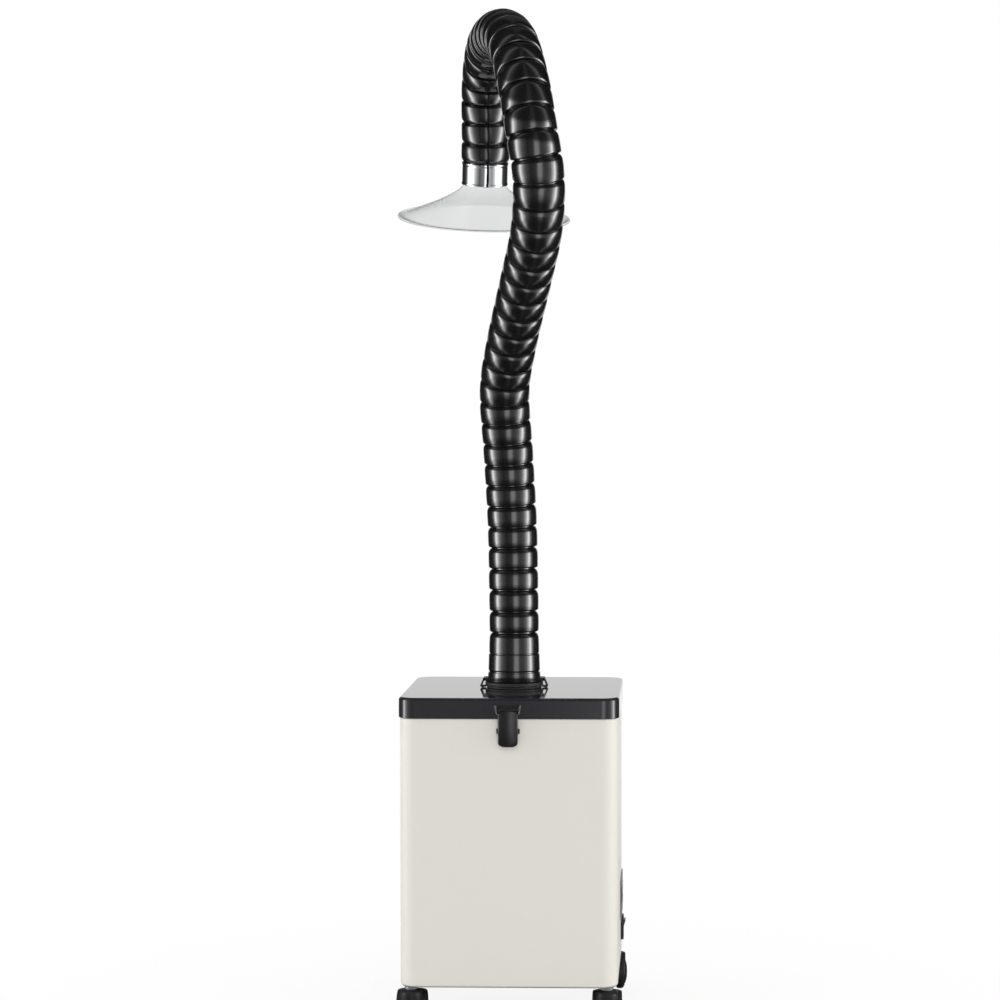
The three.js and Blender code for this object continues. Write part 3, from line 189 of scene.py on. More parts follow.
class Nodes:
    """Short way to add nodes to a tree and link them."""

    def __init__(self, tree):
        self.tree = tree
        tree.nodes.clear()

    def add(self, kind, inputs=None, **settings):
        node = self.tree.nodes.new(kind)
        for key, value in settings.items():
            setattr(node, key, value)
        for key, value in (inputs or {}).items():
            self.put(node, key, value)
        return node

    def put(self, node, key, value):
        socket = node.inputs[key]
        if isinstance(value, bpy.types.NodeSocket):
            self.tree.links.new(value, socket)
        else:
            socket.default_value = value

    def math(self, operation, a, b=0.0, clamp=False):
        node = self.add("ShaderNodeMath", {0: a, 1: b}, operation=operation, use_clamp=clamp)
        return node.outputs[0]

    def ramp(self, value, low, high, to_low=0.0, to_high=1.0):
        node = self.add("ShaderNodeMapRange", {
            "Value": value, "From Min": low, "From Max": high, "To Min": to_low, "To Max": to_high})
        return node.outputs["Result"]

    def mixed(self, share, first, second):
        """Shader between two others, by the share of the second."""
        return self.add("ShaderNodeMixShader", {0: share, 1: first, 2: second}).outputs["Shader"]


def rgb(text):
    """Linear colour of an sRGB hex code."""
    parts = [int(text[i:i + 2], 16) / 255 for i in (0, 2, 4)]
    return [p / 12.92 if p <= 0.04045 else ((p + 0.055) / 1.055) ** 2.4 for p in parts] + [1.0]


def shaded(colour, factor):
    """Colour made darker or lighter."""
    return [min(c * factor, 1.0) for c in colour[:3]] + [1.0]


# Finishes

BROAD_SHARE = 0.7
TONE_RANGE = (0.3, 0.7)
GRAIN_RANGE = (0.25, 0.75)
ROUGH_SWING = 0.15
RELIEF = 0.0004


def surface(name, colour, roughness, spread=0.06, patch=9.0, grain=700.0, bump=0.05, stretch=(1, 1, 1),
            fade=None, **sockets):
    """Procedural finish: tone that drifts in patches, a fine grain in the roughness and a small relief.

    A fade of two heights in metres and a factor makes the colour darker towards the lower one, as painted shade.
    """
    material = bpy.data.materials.new(name)
    material.use_nodes = True
    nodes = Nodes(material.node_tree)
    place = nodes.add("ShaderNodeTexCoord").outputs["Object"]
    spun = nodes.add("ShaderNodeMapping", {"Vector": place, "Scale": stretch}).outputs["Vector"]
    broad = nodes.add("ShaderNodeTexNoise", {"Vector": place, "Scale": patch, "Detail": 3.0}).outputs["Fac"]
    fine = nodes.add("ShaderNodeTexNoise", {"Vector": spun, "Scale": grain, "Detail": 2.0}).outputs["Fac"]
    tone = nodes.math("ADD", nodes.math("MULTIPLY", broad, BROAD_SHARE),
                      nodes.math("MULTIPLY", fine, 1 - BROAD_SHARE))
    mix = nodes.add("ShaderNodeMix", data_type="RGBA")
    nodes.put(mix, 0, nodes.ramp(tone, *TONE_RANGE))
    nodes.put(mix, 6, shaded(rgb(colour), 1 - spread))
    nodes.put(mix, 7, shaded(rgb(colour), 1 + spread))
    toned = mix.outputs[2]
    # Painted shade: colour darker towards the lower height
    if fade:
        low, high, factor = fade
        height = nodes.add("ShaderNodeSeparateXYZ", {"Vector": place}).outputs["Z"]
        light = nodes.ramp(height, low, high, factor, 1.0)
        scaled = nodes.add("ShaderNodeVectorMath", {0: toned, "Scale": light}, operation="SCALE")
        toned = scaled.outputs["Vector"]
    rough = nodes.ramp(fine, *GRAIN_RANGE, roughness * (1 - ROUGH_SWING), roughness * (1 + ROUGH_SWING))
    relief = nodes.add("ShaderNodeBump", {"Height": fine, "Strength": bump, "Distance": RELIEF})
    shader = nodes.add("ShaderNodeBsdfPrincipled", {
        "Base Color": toned, "Roughness": rough, "Normal": relief.outputs["Normal"], **sockets})
    output = nodes.add("ShaderNodeOutputMaterial")
    nodes.put(output, "Surface", shader.outputs["BSDF"])
    return material


MATERIALS = {
    "white_paint": surface("white_paint", "e5e2da", 0.50, spread=0.012, patch=3.0, grain=900.0, bump=0.10,
                           **{"Specular IOR Level": 0.25}),
    "gloss_black": surface("gloss_black", "29282b", 0.07, spread=0.10, patch=5.0, grain=300.0, bump=0.004),
    "hose_black": surface("hose_black", "151516", 0.15, spread=0.25, patch=40.0, grain=500.0, bump=0.03,
                          **{"Specular IOR Level": 0.9}),
    "matt_black": surface("matt_black", "232324", 0.44, spread=0.20, patch=30.0, grain=1500.0, bump=0.12),
    "chrome": surface("chrome", "d9dadc", 0.03, spread=0.02, patch=30.0, grain=400.0, bump=0.004,
                      Metallic=1.0),
    "steel": surface("steel", "a6a9ab", 0.42, spread=0.10, patch=20.0, grain=260.0, bump=0.06,
                     stretch=(0.08, 1, 1), Metallic=0.6),
    "aluminium": surface("aluminium", "b4b7b8", 0.38, spread=0.08, patch=25.0, grain=420.0, bump=0.05,
                         Metallic=1.0),
    # The hood's fade is painted shade: its tint darker towards the rim
    "clear_hood": surface("clear_hood", "fcfdfd", 0.14, spread=0.005, patch=12.0, grain=200.0, bump=0.004,
                          fade=(1.08, 1.15, 0.78), IOR=1.1, **{"Transmission Weight": 1.0}),
    "rubber": surface("rubber", "1d1d1e", 0.70, spread=0.20, patch=40.0, grain=1200.0, bump=0.15),
    "grey_plate": surface("grey_plate", "85888a", 0.40, spread=0.05, patch=15.0, grain=900.0, bump=0.05),
    "filter_white": surface("filter_white", "e4e3dc", 0.90, spread=0.06, patch=30.0, grain=1600.0, bump=0.35),
    "carbon_grey": surface("carbon_grey", "37383a", 0.90, spread=0.35, patch=60.0, grain=700.0, bump=0.60),
    "board_green": surface("board_green", "2a5738", 0.45, spread=0.15, patch=60.0, grain=500.0, bump=0.08),
}
# Dark grey of the base tray: partly its own grey paint, partly painted shade of the seam under the hem
TRAY_GREY_AND_SHADE = surface("tray", "63635f", 0.55, spread=0.04, patch=10.0, grain=900.0, bump=0.08)
INLET = surface("inlet", "373634", 0.55, spread=0.15, patch=40.0, grain=1200.0, bump=0.10)
LEVER = surface("lever", "1b1b1c", 0.30, spread=0.25, patch=30.0, grain=1200.0, bump=0.06)
# Light grey of the latch cheeks: a painted highlight on the black ears of the latch bracket
CHEEK_PAINTED_HIGHLIGHT = surface("cheek", "5e5e60", 0.40, spread=0.10, patch=40.0, grain=900.0, bump=0.06)
SCREEN = surface("screen", "0d0f12", 0.08, spread=0.15, patch=20.0, grain=300.0, bump=0.004)
PAD = surface("pad", "c4c7c8", 0.45, spread=0.04, patch=40.0, grain=900.0, bump=0.06)
LAMP = surface("lamp", "5f8f62", 0.20, spread=0.10, patch=80.0, grain=500.0, bump=0.02)
BRASS = surface("brass", "c7b98f", 0.28, spread=0.08, patch=40.0, grain=600.0, bump=0.04, Metallic=1.0)


# Floor, world and lamps, in metres

WHITE = (1, 1, 1, 1)
FLOOR_TONE = (0.86, 0.86, 0.86, 1)
FLOOR_ROUGHNESS = (0.75, 0.9)
FLOOR_RADIUS = 14
FLOOR_GAP = 0.0001
# Distances between which the floor's shadow runs out into white, and the white at the nearer one
SHADOW_REACH = (0.25, 0.8)
SHADOW_WHITE = 0.88
# How bright gloss sees the studio in the floor: by distance to the side, and by that from the middle
MIRROR_BESIDE = (0.7, 1.2, 0.05, 0.5)
MIRROR_AWAY = (0.9, 2.1)
# Upper edge of the soft boxes: two heights of a ray's direction, and the brightness at each
SOFT_BOX_EDGE = (0.12, 0.28, 1.0, 0.08)
FILL = 0.62
# What gloss sees of the studio: brightness by angle round the object, in degrees from the front to the right
STUDIO = [
    (-180, 1.0), (-165, 1.0), (-150, 0.03), (-126, 0.03), (-106, 0.07), (-93, 0.9), (-80, 9.5), (-68, 4.0),
    (-57, 1.2), (-46, 0.6), (-36, 0.3), (-26, 0.12), (-16, 0.2), (-3, 0.28), (8, 2.2), (18, 2.2), (28, 0.5),
    (39, 0.4), (49, 0.6), (60, 1.2), (71, 4.0), (83, 10.0), (95, 1.5), (107, 0.08), (130, 0.03), (150, 0.03),
    (165, 1.0), (180, 1.0),
]


def studio(nodes, x, y):
    """Brightness of the studio in the direction of two level coordinates."""
    angle = nodes.math("ARCTAN2", x, nodes.math("MULTIPLY", y, -1.0))
    share = nodes.ramp(angle, -math.pi, math.pi)
    ramp = nodes.add("ShaderNodeValToRGB", {"Fac": share})
    stops = ramp.color_ramp.elements
    ramp.color_ramp.interpolation = "EASE"
    while len(stops) > 1:
        stops.remove(stops[-1])
    for i, (degrees, value) in enumerate(STUDIO):
        position = (degrees + 180) / 360
        stop = stops.new(position) if i else stops[0]
        stop.position = position
        stop.color = (value, value, value, 1)
    return ramp.outputs["Color"]


def make_floor():
    """Pale floor that keeps the shadow near the object and runs out into white."""
    spot = (0, 0, FLOOR_Z * MM - FLOOR_GAP)
    bpy.ops.mesh.primitive_circle_add(vertices=96, radius=FLOOR_RADIUS, fill_type="NGON", location=spot)
    floor = bpy.context.object
    floor.name = "floor"
    material = bpy.data.materials.new("floor")
    material.use_nodes = True
    nodes = Nodes(material.node_tree)
    path = nodes.add("ShaderNodeLightPath").outputs
    place = nodes.add("ShaderNodeTexCoord").outputs["Object"]
    part = nodes.add("ShaderNodeSeparateXYZ", {"Vector": place}).outputs
    length = nodes.add("ShaderNodeVectorMath", {0: place}, operation="LENGTH").outputs["Value"]
    grain = nodes.add("ShaderNodeTexNoise", {"Vector": place, "Scale": 60.0}).outputs["Fac"]
    rough = nodes.ramp(grain, 0.0, 1.0, *FLOOR_ROUGHNESS)
    matt = nodes.add("ShaderNodeBsdfPrincipled", {"Base Color": FLOOR_TONE, "Roughness": rough})
    white = nodes.add("ShaderNodeEmission", {"Color": WHITE, "Strength": 1.0})
    seen = nodes.math("MAXIMUM", path["Is Camera Ray"], path["Is Transmission Ray"])
    share = nodes.math("MULTIPLY", seen, nodes.ramp(length, *SHADOW_REACH, SHADOW_WHITE, 1.0))
    lit = nodes.mixed(share, matt.outputs["BSDF"], white.outputs["Emission"])
    beside = nodes.ramp(nodes.math("ABSOLUTE", part["X"]), *MIRROR_BESIDE)
    apart = nodes.math("MAXIMUM", beside, nodes.ramp(length, *MIRROR_AWAY))
    gloss = nodes.add("ShaderNodeEmission", {"Color": studio(nodes, part["X"], part["Y"]), "Strength": apart})
    mirrored = nodes.math("SUBTRACT", path["Is Glossy Ray"], path["Is Transmission Ray"], clamp=True)
    output = nodes.add("ShaderNodeOutputMaterial")
    nodes.put(output, "Surface", nodes.mixed(mirrored, lit, gloss.outputs["Emission"]))
    floor.data.materials.append(material)


def make_world():
    """White behind the object, an even fill for matt surfaces, a dim room with tall soft boxes for gloss."""
    world = bpy.data.worlds.new("world")
    bpy.context.scene.world = world
    world.use_nodes = True
    nodes = Nodes(world.node_tree)
    path = nodes.add("ShaderNodeLightPath").outputs
    direction = nodes.add("ShaderNodeTexCoord").outputs["Generated"]
    part = nodes.add("ShaderNodeSeparateXYZ", {"Vector": direction}).outputs
    below = nodes.ramp(part["Z"], *SOFT_BOX_EDGE)
    gloss = nodes.math("MULTIPLY", studio(nodes, part["X"], part["Y"]), below)
    clear = nodes.math("MAXIMUM", path["Is Camera Ray"], path["Is Transmission Ray"])
    matt = nodes.math("ADD", nodes.math("MULTIPLY", path["Is Glossy Ray"], gloss),
                      nodes.math("MULTIPLY", nodes.math("SUBTRACT", 1.0, path["Is Glossy Ray"]), FILL))
    strength = nodes.math("MAXIMUM", clear, nodes.math("MULTIPLY", matt, nodes.math("SUBTRACT", 1.0, clear)))
    background = nodes.add("ShaderNodeBackground", {"Color": WHITE, "Strength": strength})
    output = nodes.add("ShaderNodeOutputWorld")
    nodes.put(output, "Surface", background.outputs["Background"])


def make_lamp(name, place, target, width, height, radiance):
    """Soft box of a given radiance, turned to a point, for matt surfaces."""
    data = bpy.data.lights.new(name, "AREA")
    data.shape = "RECTANGLE"
    data.size = width
    data.size_y = height
    data.energy = radiance * math.pi * width * height
    lamp = bpy.data.objects.new(name, data)
    lamp.location = place
    lamp.rotation_euler = (Vector(target) - Vector(place)).to_track_quat("-Z", "Y").to_euler()
    lamp.visible_glossy = False
    bpy.context.scene.collection.objects.link(lamp)


def make_light():
    """Fill from the world, a soft box at each side, one in front and one above."""
    make_world()
    for side, name in ((-1, "left"), (1, "right")):
        make_lamp(f"strip_{name}", place=(side * 2.3, -0.42, 0.95), target=(0, 0, 0.75),
                  width=0.7, height=2.2, radiance=4.2)
    make_lamp("front", place=(0.5, -3.2, 2.2), target=(0, 0, 0.6), width=1.4, height=1.0, radiance=5.0)
    make_lamp("above", place=(-0.3, 0.2, 3.2), target=(0, 0, 0.6), width=1.6, height=1.6, radiance=2.0)


# Mesh helpers, in millimetres

SMOOTH_ANGLE = 32
BEVEL_ANGLE = 30
FLAT_ANGLE = 0.5
WELD = 1e-6
ON_AXIS = 0.02
EDGE_SHARE = 0.45
LEAST_CORNER = 1.0
ALONG_X = Matrix.Rotation(math.pi / 2, 4, "Y")
ALONG_Y = Matrix.Rotation(-math.pi / 2, 4, "X")


def new_mesh(name, points, faces):
    """Mesh in metres from points in millimetres."""
    mesh = bpy.data.meshes.new(name)
    mesh.from_pydata([Vector(p) * MM for p in points], [], faces)
    return mesh


def piece(name, points, faces, slot, body, *nodes, matrix=None, sharp=SMOOTH_ANGLE, material=None):
    """New mesh from points, moved by a matrix in metres and dressed."""
    mesh = new_mesh(name, points, faces)
    if matrix is not None:
        mesh.transform(matrix)
    dress(name, mesh, slot, body, *nodes, sharp=sharp, material=material)


def dress(name, mesh, slot, body, *nodes, sharp=SMOOTH_ANGLE, material=None, blend=None):
    """Object from a mesh, smooth between its sharp edges, that rides on a body, or stays where it is, unattached,
    when given a blend.

    It stands in for the named CAD nodes.
    """
    mesh.validate()
    if "custom_normal" in mesh.attributes:
        mesh.attributes.remove(mesh.attributes["custom_normal"])
    work = bmesh.new()
    work.from_mesh(mesh)
    bmesh.ops.recalc_face_normals(work, faces=work.faces)
    work.to_mesh(mesh)
    work.free()
    mesh.shade_smooth()
    mesh.set_sharp_from_angle(angle=math.radians(sharp))
    mesh.materials.clear()
    mesh.materials.append(material or MATERIALS[slot])
    made = bpy.data.objects.new(name, mesh)
    bpy.context.scene.collection.objects.link(made)
    if blend:
        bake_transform(made)
    else:
        weigh_normals(made)
        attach(made, body)
    if nodes:
        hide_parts(*nodes)


def weigh_normals(made):
    """Keeps flat faces flat in shading where a rounded edge runs into them."""
    weigh = made.modifiers.new("weigh", "WEIGHTED_NORMAL")
    weigh.keep_sharp = True
    flat = bpy.data.meshes.new_from_object(made.evaluated_get(bpy.context.evaluated_depsgraph_get()))
    made.modifiers.clear()
    flat.name = made.name
    made.data = flat


def skin(rings, capped=False):
    """Faces over rings of points: both ends are capped, or the last ring meets the first."""
    count = len(rings[0])
    points = [p for ring in rings for p in ring]
    faces = []
    for i in range(len(rings) - 1 if capped else len(rings)):
        a, b = i * count, (i + 1) % len(rings) * count
        for j in range(count):
            k = (j + 1) % count
            faces.append((a + j, a + k, b + k, b + j))
    if capped:
        top = (len(rings) - 1) * count
        faces.append(tuple(range(count))[::-1])
        faces.append(tuple(range(top, top + count)))
    return points, faces


def curve(pulls, t):
    """Point on the smooth curve that runs from the first to the last of its pulls."""
    while len(pulls) > 1:
        pulls = [a * (1 - t) + b * t for a, b in zip(pulls, pulls[1:])]
    return pulls[0]


def filleted(points, radius, steps=3, closed=True):
    """Outline with each corner rounded."""
    count = len(points)
    rounded = []
    for i, point in enumerate(points):
        if not closed and i in (0, count - 1):
            rounded.append(tuple(point))
            continue
        here = Vector(point)
        before, after = Vector(points[i - 1]) - here, Vector(points[(i + 1) % count]) - here
        reach = min(radius, EDGE_SHARE * before.length, EDGE_SHARE * after.length)
        pulls = [here + before.normalized() * reach, here, here + after.normalized() * reach]
        rounded += [tuple(curve(pulls, step / steps)) for step in range(steps + 1)]
    return rounded


def rectangle(middle, half, radius, steps=4):
    """Outline of a rectangle with rounded corners."""
    (u, v), (across, up) = middle, half
    corners = [(u - across, v - up), (u + across, v - up), (u + across, v + up), (u - across, v + up)]
    return filleted(corners, radius, steps)


def circle(radius, height, sides):
    """Ring of points about Z."""
    turns = [2 * math.pi * i / sides for i in range(sides)]
    return [(radius * math.cos(turn), radius * math.sin(turn), height) for turn in turns]


def turned(profile, sides=72):
    """Round body about Z from an outline of radius and height that closes on itself."""
    return skin([circle(radius, height, sides) for radius, height in profile])


def tube(bore, radius, half, ease, sides):
    """Round tube about Z with eased edges."""
    return turned(filleted([(bore, -half), (radius, -half), (radius, half), (bore, half)], ease), sides)


def rod(radius, low, high, sides=48):
    """Round bar about Z."""
    return skin([circle(radius, height, sides) for height in (low, high)], capped=True)


def box(low, high):
    """Block between two corners."""
    (x0, y0, z0), (x1, y1, z1) = low, high
    points = [(x, y, z) for z in (z0, z1) for x, y in ((x0, y0), (x1, y0), (x1, y1), (x0, y1))]
    return points, [(3, 2, 1, 0), (4, 5, 6, 7), (0, 1, 5, 4), (1, 2, 6, 5), (2, 3, 7, 6), (3, 0, 4, 7)]


def cabinet_ring(inset, height, steps=10):
    """Outline of the cabinet drawn in by an inset."""
    radius = max(CORNER - inset, LEAST_CORNER)
    flat = HALF - inset - radius
    ring = []
    for quarter, sx, sy in ((0, 1, 1), (1, -1, 1), (2, -1, -1), (3, 1, -1)):
        for i in range(steps + 1):
            angle = (quarter + i / steps) * math.pi / 2
            ring.append((sx * flat + radius * math.cos(angle), sy * flat + radius * math.sin(angle), height))
    return ring


def cabinet_body(profile):
    """Body round the cabinet from an outline of inset and height that closes on itself."""
    return skin([cabinet_ring(inset, height) for inset, height in profile])


def joined(*bodies):
    """Several loose shells as one list of points and faces."""
    points, faces = [], []
    for more, sides in bodies:
        start = len(points)
        points += more
        faces += [tuple(start + i for i in face) for face in sides]
    return points, faces


def moved(body, matrix):
    """Points in millimetres moved by a matrix, faces kept."""
    points, faces = body
    return [tuple(matrix @ Vector(p)) for p in points], faces


def solid_object(body):
    """Object to join or cut with."""
    made = bpy.data.objects.new("work", new_mesh("work", *body))
    bpy.context.scene.collection.objects.link(made)
    return made


def combined(first, *steps):
    """Mesh of solids joined and cut in turn; each step is ("UNION" or "DIFFERENCE", body)."""
    base = solid_object(first)
    tools = []
    for operation, body in steps:
        tool = solid_object(body)
        change = base.modifiers.new("change", "BOOLEAN")
        change.operation = operation
        change.solver = "EXACT"
        change.object = tool
        tools.append(tool)
    result = bpy.data.meshes.new_from_object(base.evaluated_get(bpy.context.evaluated_depsgraph_get()))
    for used in [base, *tools]:
        bpy.data.objects.remove(used)
    return result


def eased(mesh, width):
    """Rounds the sharp edges of a mesh by a small width in millimetres."""
    work = bmesh.new()
    work.from_mesh(mesh)
    bmesh.ops.remove_doubles(work, verts=work.verts, dist=WELD)
    bmesh.ops.dissolve_limit(work, angle_limit=math.radians(FLAT_ANGLE), verts=work.verts, edges=work.edges)
    least = math.radians(BEVEL_ANGLE)
    edges = [e for e in work.edges if len(e.link_faces) == 2 and e.calc_face_angle(0) > least]
    bmesh.ops.bevel(work, geom=edges, offset=width * MM, segments=2, profile=0.5, affect="EDGES",
                    clamp_overlap=True)
    work.to_mesh(mesh)
    work.free()
    return mesh


def refined(node, slot, body, width, material=None):
    """The shape of a CAD node with its edges eased."""
    mesh = frame["nodes"][node].data.copy()
    dress(f"{node}_form", eased(mesh, width), slot, body, node, material=material)


# Cabinet and lid

HEM = 1.2
HEM_INSET = 3.2
SEAM_Z = TRAY_Z + 1.0
SEAL_EDGE = 1.4


def openings():
    """Boxes through the sheet for the control plate, the switch, the socket and the grille."""
    right = [(PLATE_MIDDLE, PLATE_LENGTH / 2 - PLATE_LAP + SEAT, PLATE_HEIGHT / 2 - PLATE_LAP + SEAT),
             (SWITCH_MIDDLE, SWITCH_WIDTH / 2 - SWITCH_LAP + SEAT, SWITCH_HEIGHT / 2 - SWITCH_LAP + SEAT)]
    rear = [(SOCKET_MIDDLE, SOCKET_BODY_WIDTH / 2 + SEAT, SOCKET_BODY_HEIGHT / 2 + SEAT),
            (GRILLE_MIDDLE, GRILLE_WIDTH / 2 - GRILLE_BORDER, GRILLE_HEIGHT / 2 - GRILLE_BORDER)]
    inside, outside = HALF - 2 * SHEET, HALF + 2 * SHEET
    cuts = []
    for (y, z), half, up in right:
        cuts.append(box((inside, y - half, z - up), (outside, y + half, z + up)))
    for (x, z), half, up in rear:
        cuts.append(box((x - half, inside, z - up), (x + half, outside, z + up)))
    return cuts


def make_cabinet():
    """Sheet shell with a hem at its foot and an upstand under the lid, the tray below and the lid's seal."""
    ledge = RIM_Z - SEAT
    flank, fold, turn = SEAM_Z + 1.8, SEAM_Z + 1.4, SEAM_Z + 2.6
    hem = [(HEM_INSET, SEAM_Z), (HEM_INSET / 2, SEAM_Z), (0, flank)]
    rim = [(0, ledge), (LEDGE - SHEET, ledge), (LEDGE - SHEET, UPSTAND_Z), (LEDGE, UPSTAND_Z)]
    inside = [(LEDGE, ledge - SHEET), (SHEET, ledge - SHEET), (SHEET, turn), (HEM_INSET, fold)]
    shell = cabinet_body(filleted([*hem, *rim, *inside], HEM))
    mesh = combined(shell, *[("DIFFERENCE", body) for body in openings()])
    dress("cabinet_panel", mesh, "white_paint", "cabinet", "cabinet_shell")
    # The tray's dark grey is partly painted shade along the seam at the cabinet's foot
    refined("base_tray", "white_paint", "cabinet", width=0.4, material=TRAY_GREY_AND_SHADE)
    outer, inner = LEDGE - SHEET - SEAT, LEDGE + SEAT
    foot, crown, slot = UPSTAND_Z - SEAL_GRIP, UPSTAND_Z + SEAL_CROWN, UPSTAND_Z + SEAT
    seal = [(outer - SEAL_LIP, foot), (outer - SEAL_LIP, crown), (inner + SEAL_LIP, crown),
            (inner + SEAL_LIP, foot), (inner, foot), (inner, slot), (outer, slot), (outer, foot)]
    piece("lid_gasket", *cabinet_body(filleted(seal, SEAL_EDGE)), "rubber", "cabinet", "lid_seal")


def lid_hole(height, extra=0.0):
    """Round ring with as many points as the cabinet's outline."""
    radius = SPIGOT_RADIUS + SEAT + extra
    angles = [math.atan2(y, x) for x, y, _ in cabinet_ring(0, 0)]
    return [(radius * math.cos(angle), radius * math.sin(angle), height) for angle in angles]


def make_lid():
    """Cover with a rounded upper edge and a round hole for the spigot."""
    outer, inner = -LID_OVERHANG, LID_WALL - LID_OVERHANG
    fillet, ease, flat, bevel, steps = 1.0, 0.4, 1.5, 0.5, 6
    edge = []
    for i in range(steps + 1):
        angle = i / steps * math.pi / 2
        inset, drop = LID_ROUND * (1 - math.cos(angle)), LID_ROUND * (1 - math.sin(angle))
        edge.append((outer + inset, LID_TOP_Z - drop))
    skirt = [(inner + fillet, LID_UNDER_Z), (inner, LID_UNDER_Z - fillet), (inner, RIM_Z + ease),
             (inner + ease, RIM_Z), (outer + ease, RIM_Z), (outer, RIM_Z + ease)]
    rings = [cabinet_ring(inset, height) for inset, height in
             [*skirt, *edge, (outer + LID_ROUND + flat, LID_TOP_Z)]]
    rings += [lid_hole(LID_TOP_Z, 2 * flat), lid_hole(LID_TOP_Z, bevel), lid_hole(LID_TOP_Z - bevel),
              lid_hole(LID_UNDER_Z + bevel), lid_hole(LID_UNDER_Z, bevel)]
    piece("lid_cover", *skin(rings), "gloss_black", "lid", "lid", sharp=40)


def make_screws(name, body, places, radius):
    """Screws with a round hollow in their heads, on faces that look to the rear."""
    foot, edge, slope, crown = -0.6, 0.5, 1.2, 1.7
    head = [(ON_AXIS, foot), (radius, foot), (radius, edge), (radius * 0.85, slope), (radius * 0.5, crown),
            (radius * 0.48, edge), (ON_AXIS, edge)]
    turn = Vector((0, 1, 0)).to_track_quat("Z", "Y").to_matrix().to_4x4()
    shells = [moved(turned(head, sides=24), Matrix.Translation(place) @ turn) for place in places]
    piece(name, *joined(*shells), "steel", body)


def make_hinge():
    """Two leaves and a pin, with three screws in each leaf."""
    columns, below, above = (-45, 0, 45), RIM_Z - 17, RIM_Z + 14
    cabinet_face = FACE + HINGE_LEAF
    lid_face = cabinet_face + LID_OVERHANG
    for name, body in (("leaf_cabinet", "cabinet"), ("leaf_lid", "lid"), ("pin", "cabinet")):
        refined(f"hinge_{name}", "steel", body, width=0.4)
    make_screws("hinge_screws_cabinet", "cabinet", [(x, cabinet_face, below) for x in columns], radius=3.0)
    make_screws("hinge_screws_lid", "lid", [(x, lid_face, above) for x in columns], radius=3.0)


# Latch, from its pin

# Curve of the lever's front as out and up, and one cheek as side and height
LEVER_FRONT = [Vector((2.2, 2.9)), Vector((5.9, -23)), Vector((1.4, -LATCH_DROP))]
CHEEK_OUTLINE = [(14.3, -6.0), (16.2, -6.0), (18.4, 5.8), (16.0, 5.8)]
CHEEK_DEPTH = (-3.4, 3.6)
LEVER_BACK = -3.1
LEVER_HALF = 13.6
LEVER_CORNER = 6.0
LEVER_SAG = 2.6
LEVER_EDGE = 1.2
GRIP_DROP = 31
GRIP_REACH = 3.5
GRIP_SWELL = 0.5
LATCH_BORE = 1.7


def lever_rings():
    """Sections of the lever from its top down: domed, with a small grip and rounded lower corners."""
    steps, spans = 26, 6
    lower = LEVER_FRONT[-1].y
    rings = []
    for i in range(steps + 1):
        out, height = curve(LEVER_FRONT, i / steps)
        half = LEVER_HALF + GRIP_SWELL * max(0.0, 1 - abs(height + GRIP_DROP) / GRIP_REACH)
        missing = LEVER_CORNER - (height - lower)
        if missing > 0:
            half -= LEVER_CORNER - math.sqrt(max(LEVER_CORNER ** 2 - missing ** 2, 0))
        deep = max(out - LEVER_BACK, 1.0)
        sag = min(LEVER_SAG, deep * 0.4)
        shares = [j / spans - 1 for j in range(2 * spans + 1)]
        crown = [(half * share, deep - sag * share ** 2) for share in shares]
        outline = filleted([(-half, 0), *crown, (half, 0)], min(LEVER_EDGE, deep * 0.3), steps=2)
        rings.append([(x, -(LEVER_BACK + y), height) for x, y in outline])
    return rings


def make_latch():
    """Lever and barrel on the pin, slanting cheeks beside them in light grey as a painted highlight, and the
    keeper on the cabinet.
    """
    refined("latch_bracket", "matt_black", "lid", width=0.6)
    refined("latch_pin", "steel", "lid", width=0.3)
    refined("latch_keeper", "matt_black", "cabinet", width=0.6)
    pin, _ = joint("latch_swing")
    at_pin = Matrix.Translation(pin)
    lever = skin(lever_rings(), capped=True)
    barrel = moved(tube(LATCH_BORE, LATCH_BARREL_RADIUS, LEVER_HALF, ease=0.4, sides=40), ALONG_X)
    piece("latch_handle", *joined(lever, barrel), "matt_black", "latch", "latch_lever",
          matrix=at_pin, material=LEVER)
    outline = filleted(CHEEK_OUTLINE, radius=0.7)
    cheeks = []
    for side in (-1, 1):
        cheeks.append(skin([[(side * x, y, z) for x, z in outline] for y in CHEEK_DEPTH], capped=True))
    # The cheeks' light grey is a painted highlight
    piece("latch_cheeks", *joined(*cheeks), "matt_black", "lid", matrix=at_pin, material=CHEEK_PAINTED_HIGHLIGHT)


# Inlet flange, cuff and clips

# Outline of the cuff as radius and height: from its foot, about the line round it and about the groove
CUFF_LINE_Z = LID_TOP_Z + 23.4
CUFF_FLARE = [(CUFF_FOOT - 0.9, 0), (CUFF_FOOT, 1.8), (38.7, 3.2), (37.9, 5.4), (37.3, 8.6)]
CUFF_LINE = [(36.9, -1.4), (35.4, -0.9), (35.4, 0.5), (36.3, 1.3), (36.7, 3), (36.4, 12)]
CUFF_GROOVE = [(36.1, -1.5), (35.5, -0.9), (34.5, -0.6), (34.5, 0.4), (35.3, 0.8), (35.6, 2.0)]
CUFF_BELLY = 0.4
LUG_ROOT = 32
# Middle line of a clip from its pivot, as out and up
CLIP_LINE = [(0.9, 1.2), (2.0, -1.8), (5.4, -9.6), (4.2, -10.6), (-2.2, -9.9)]
CLIP_THICKNESS = 2.1


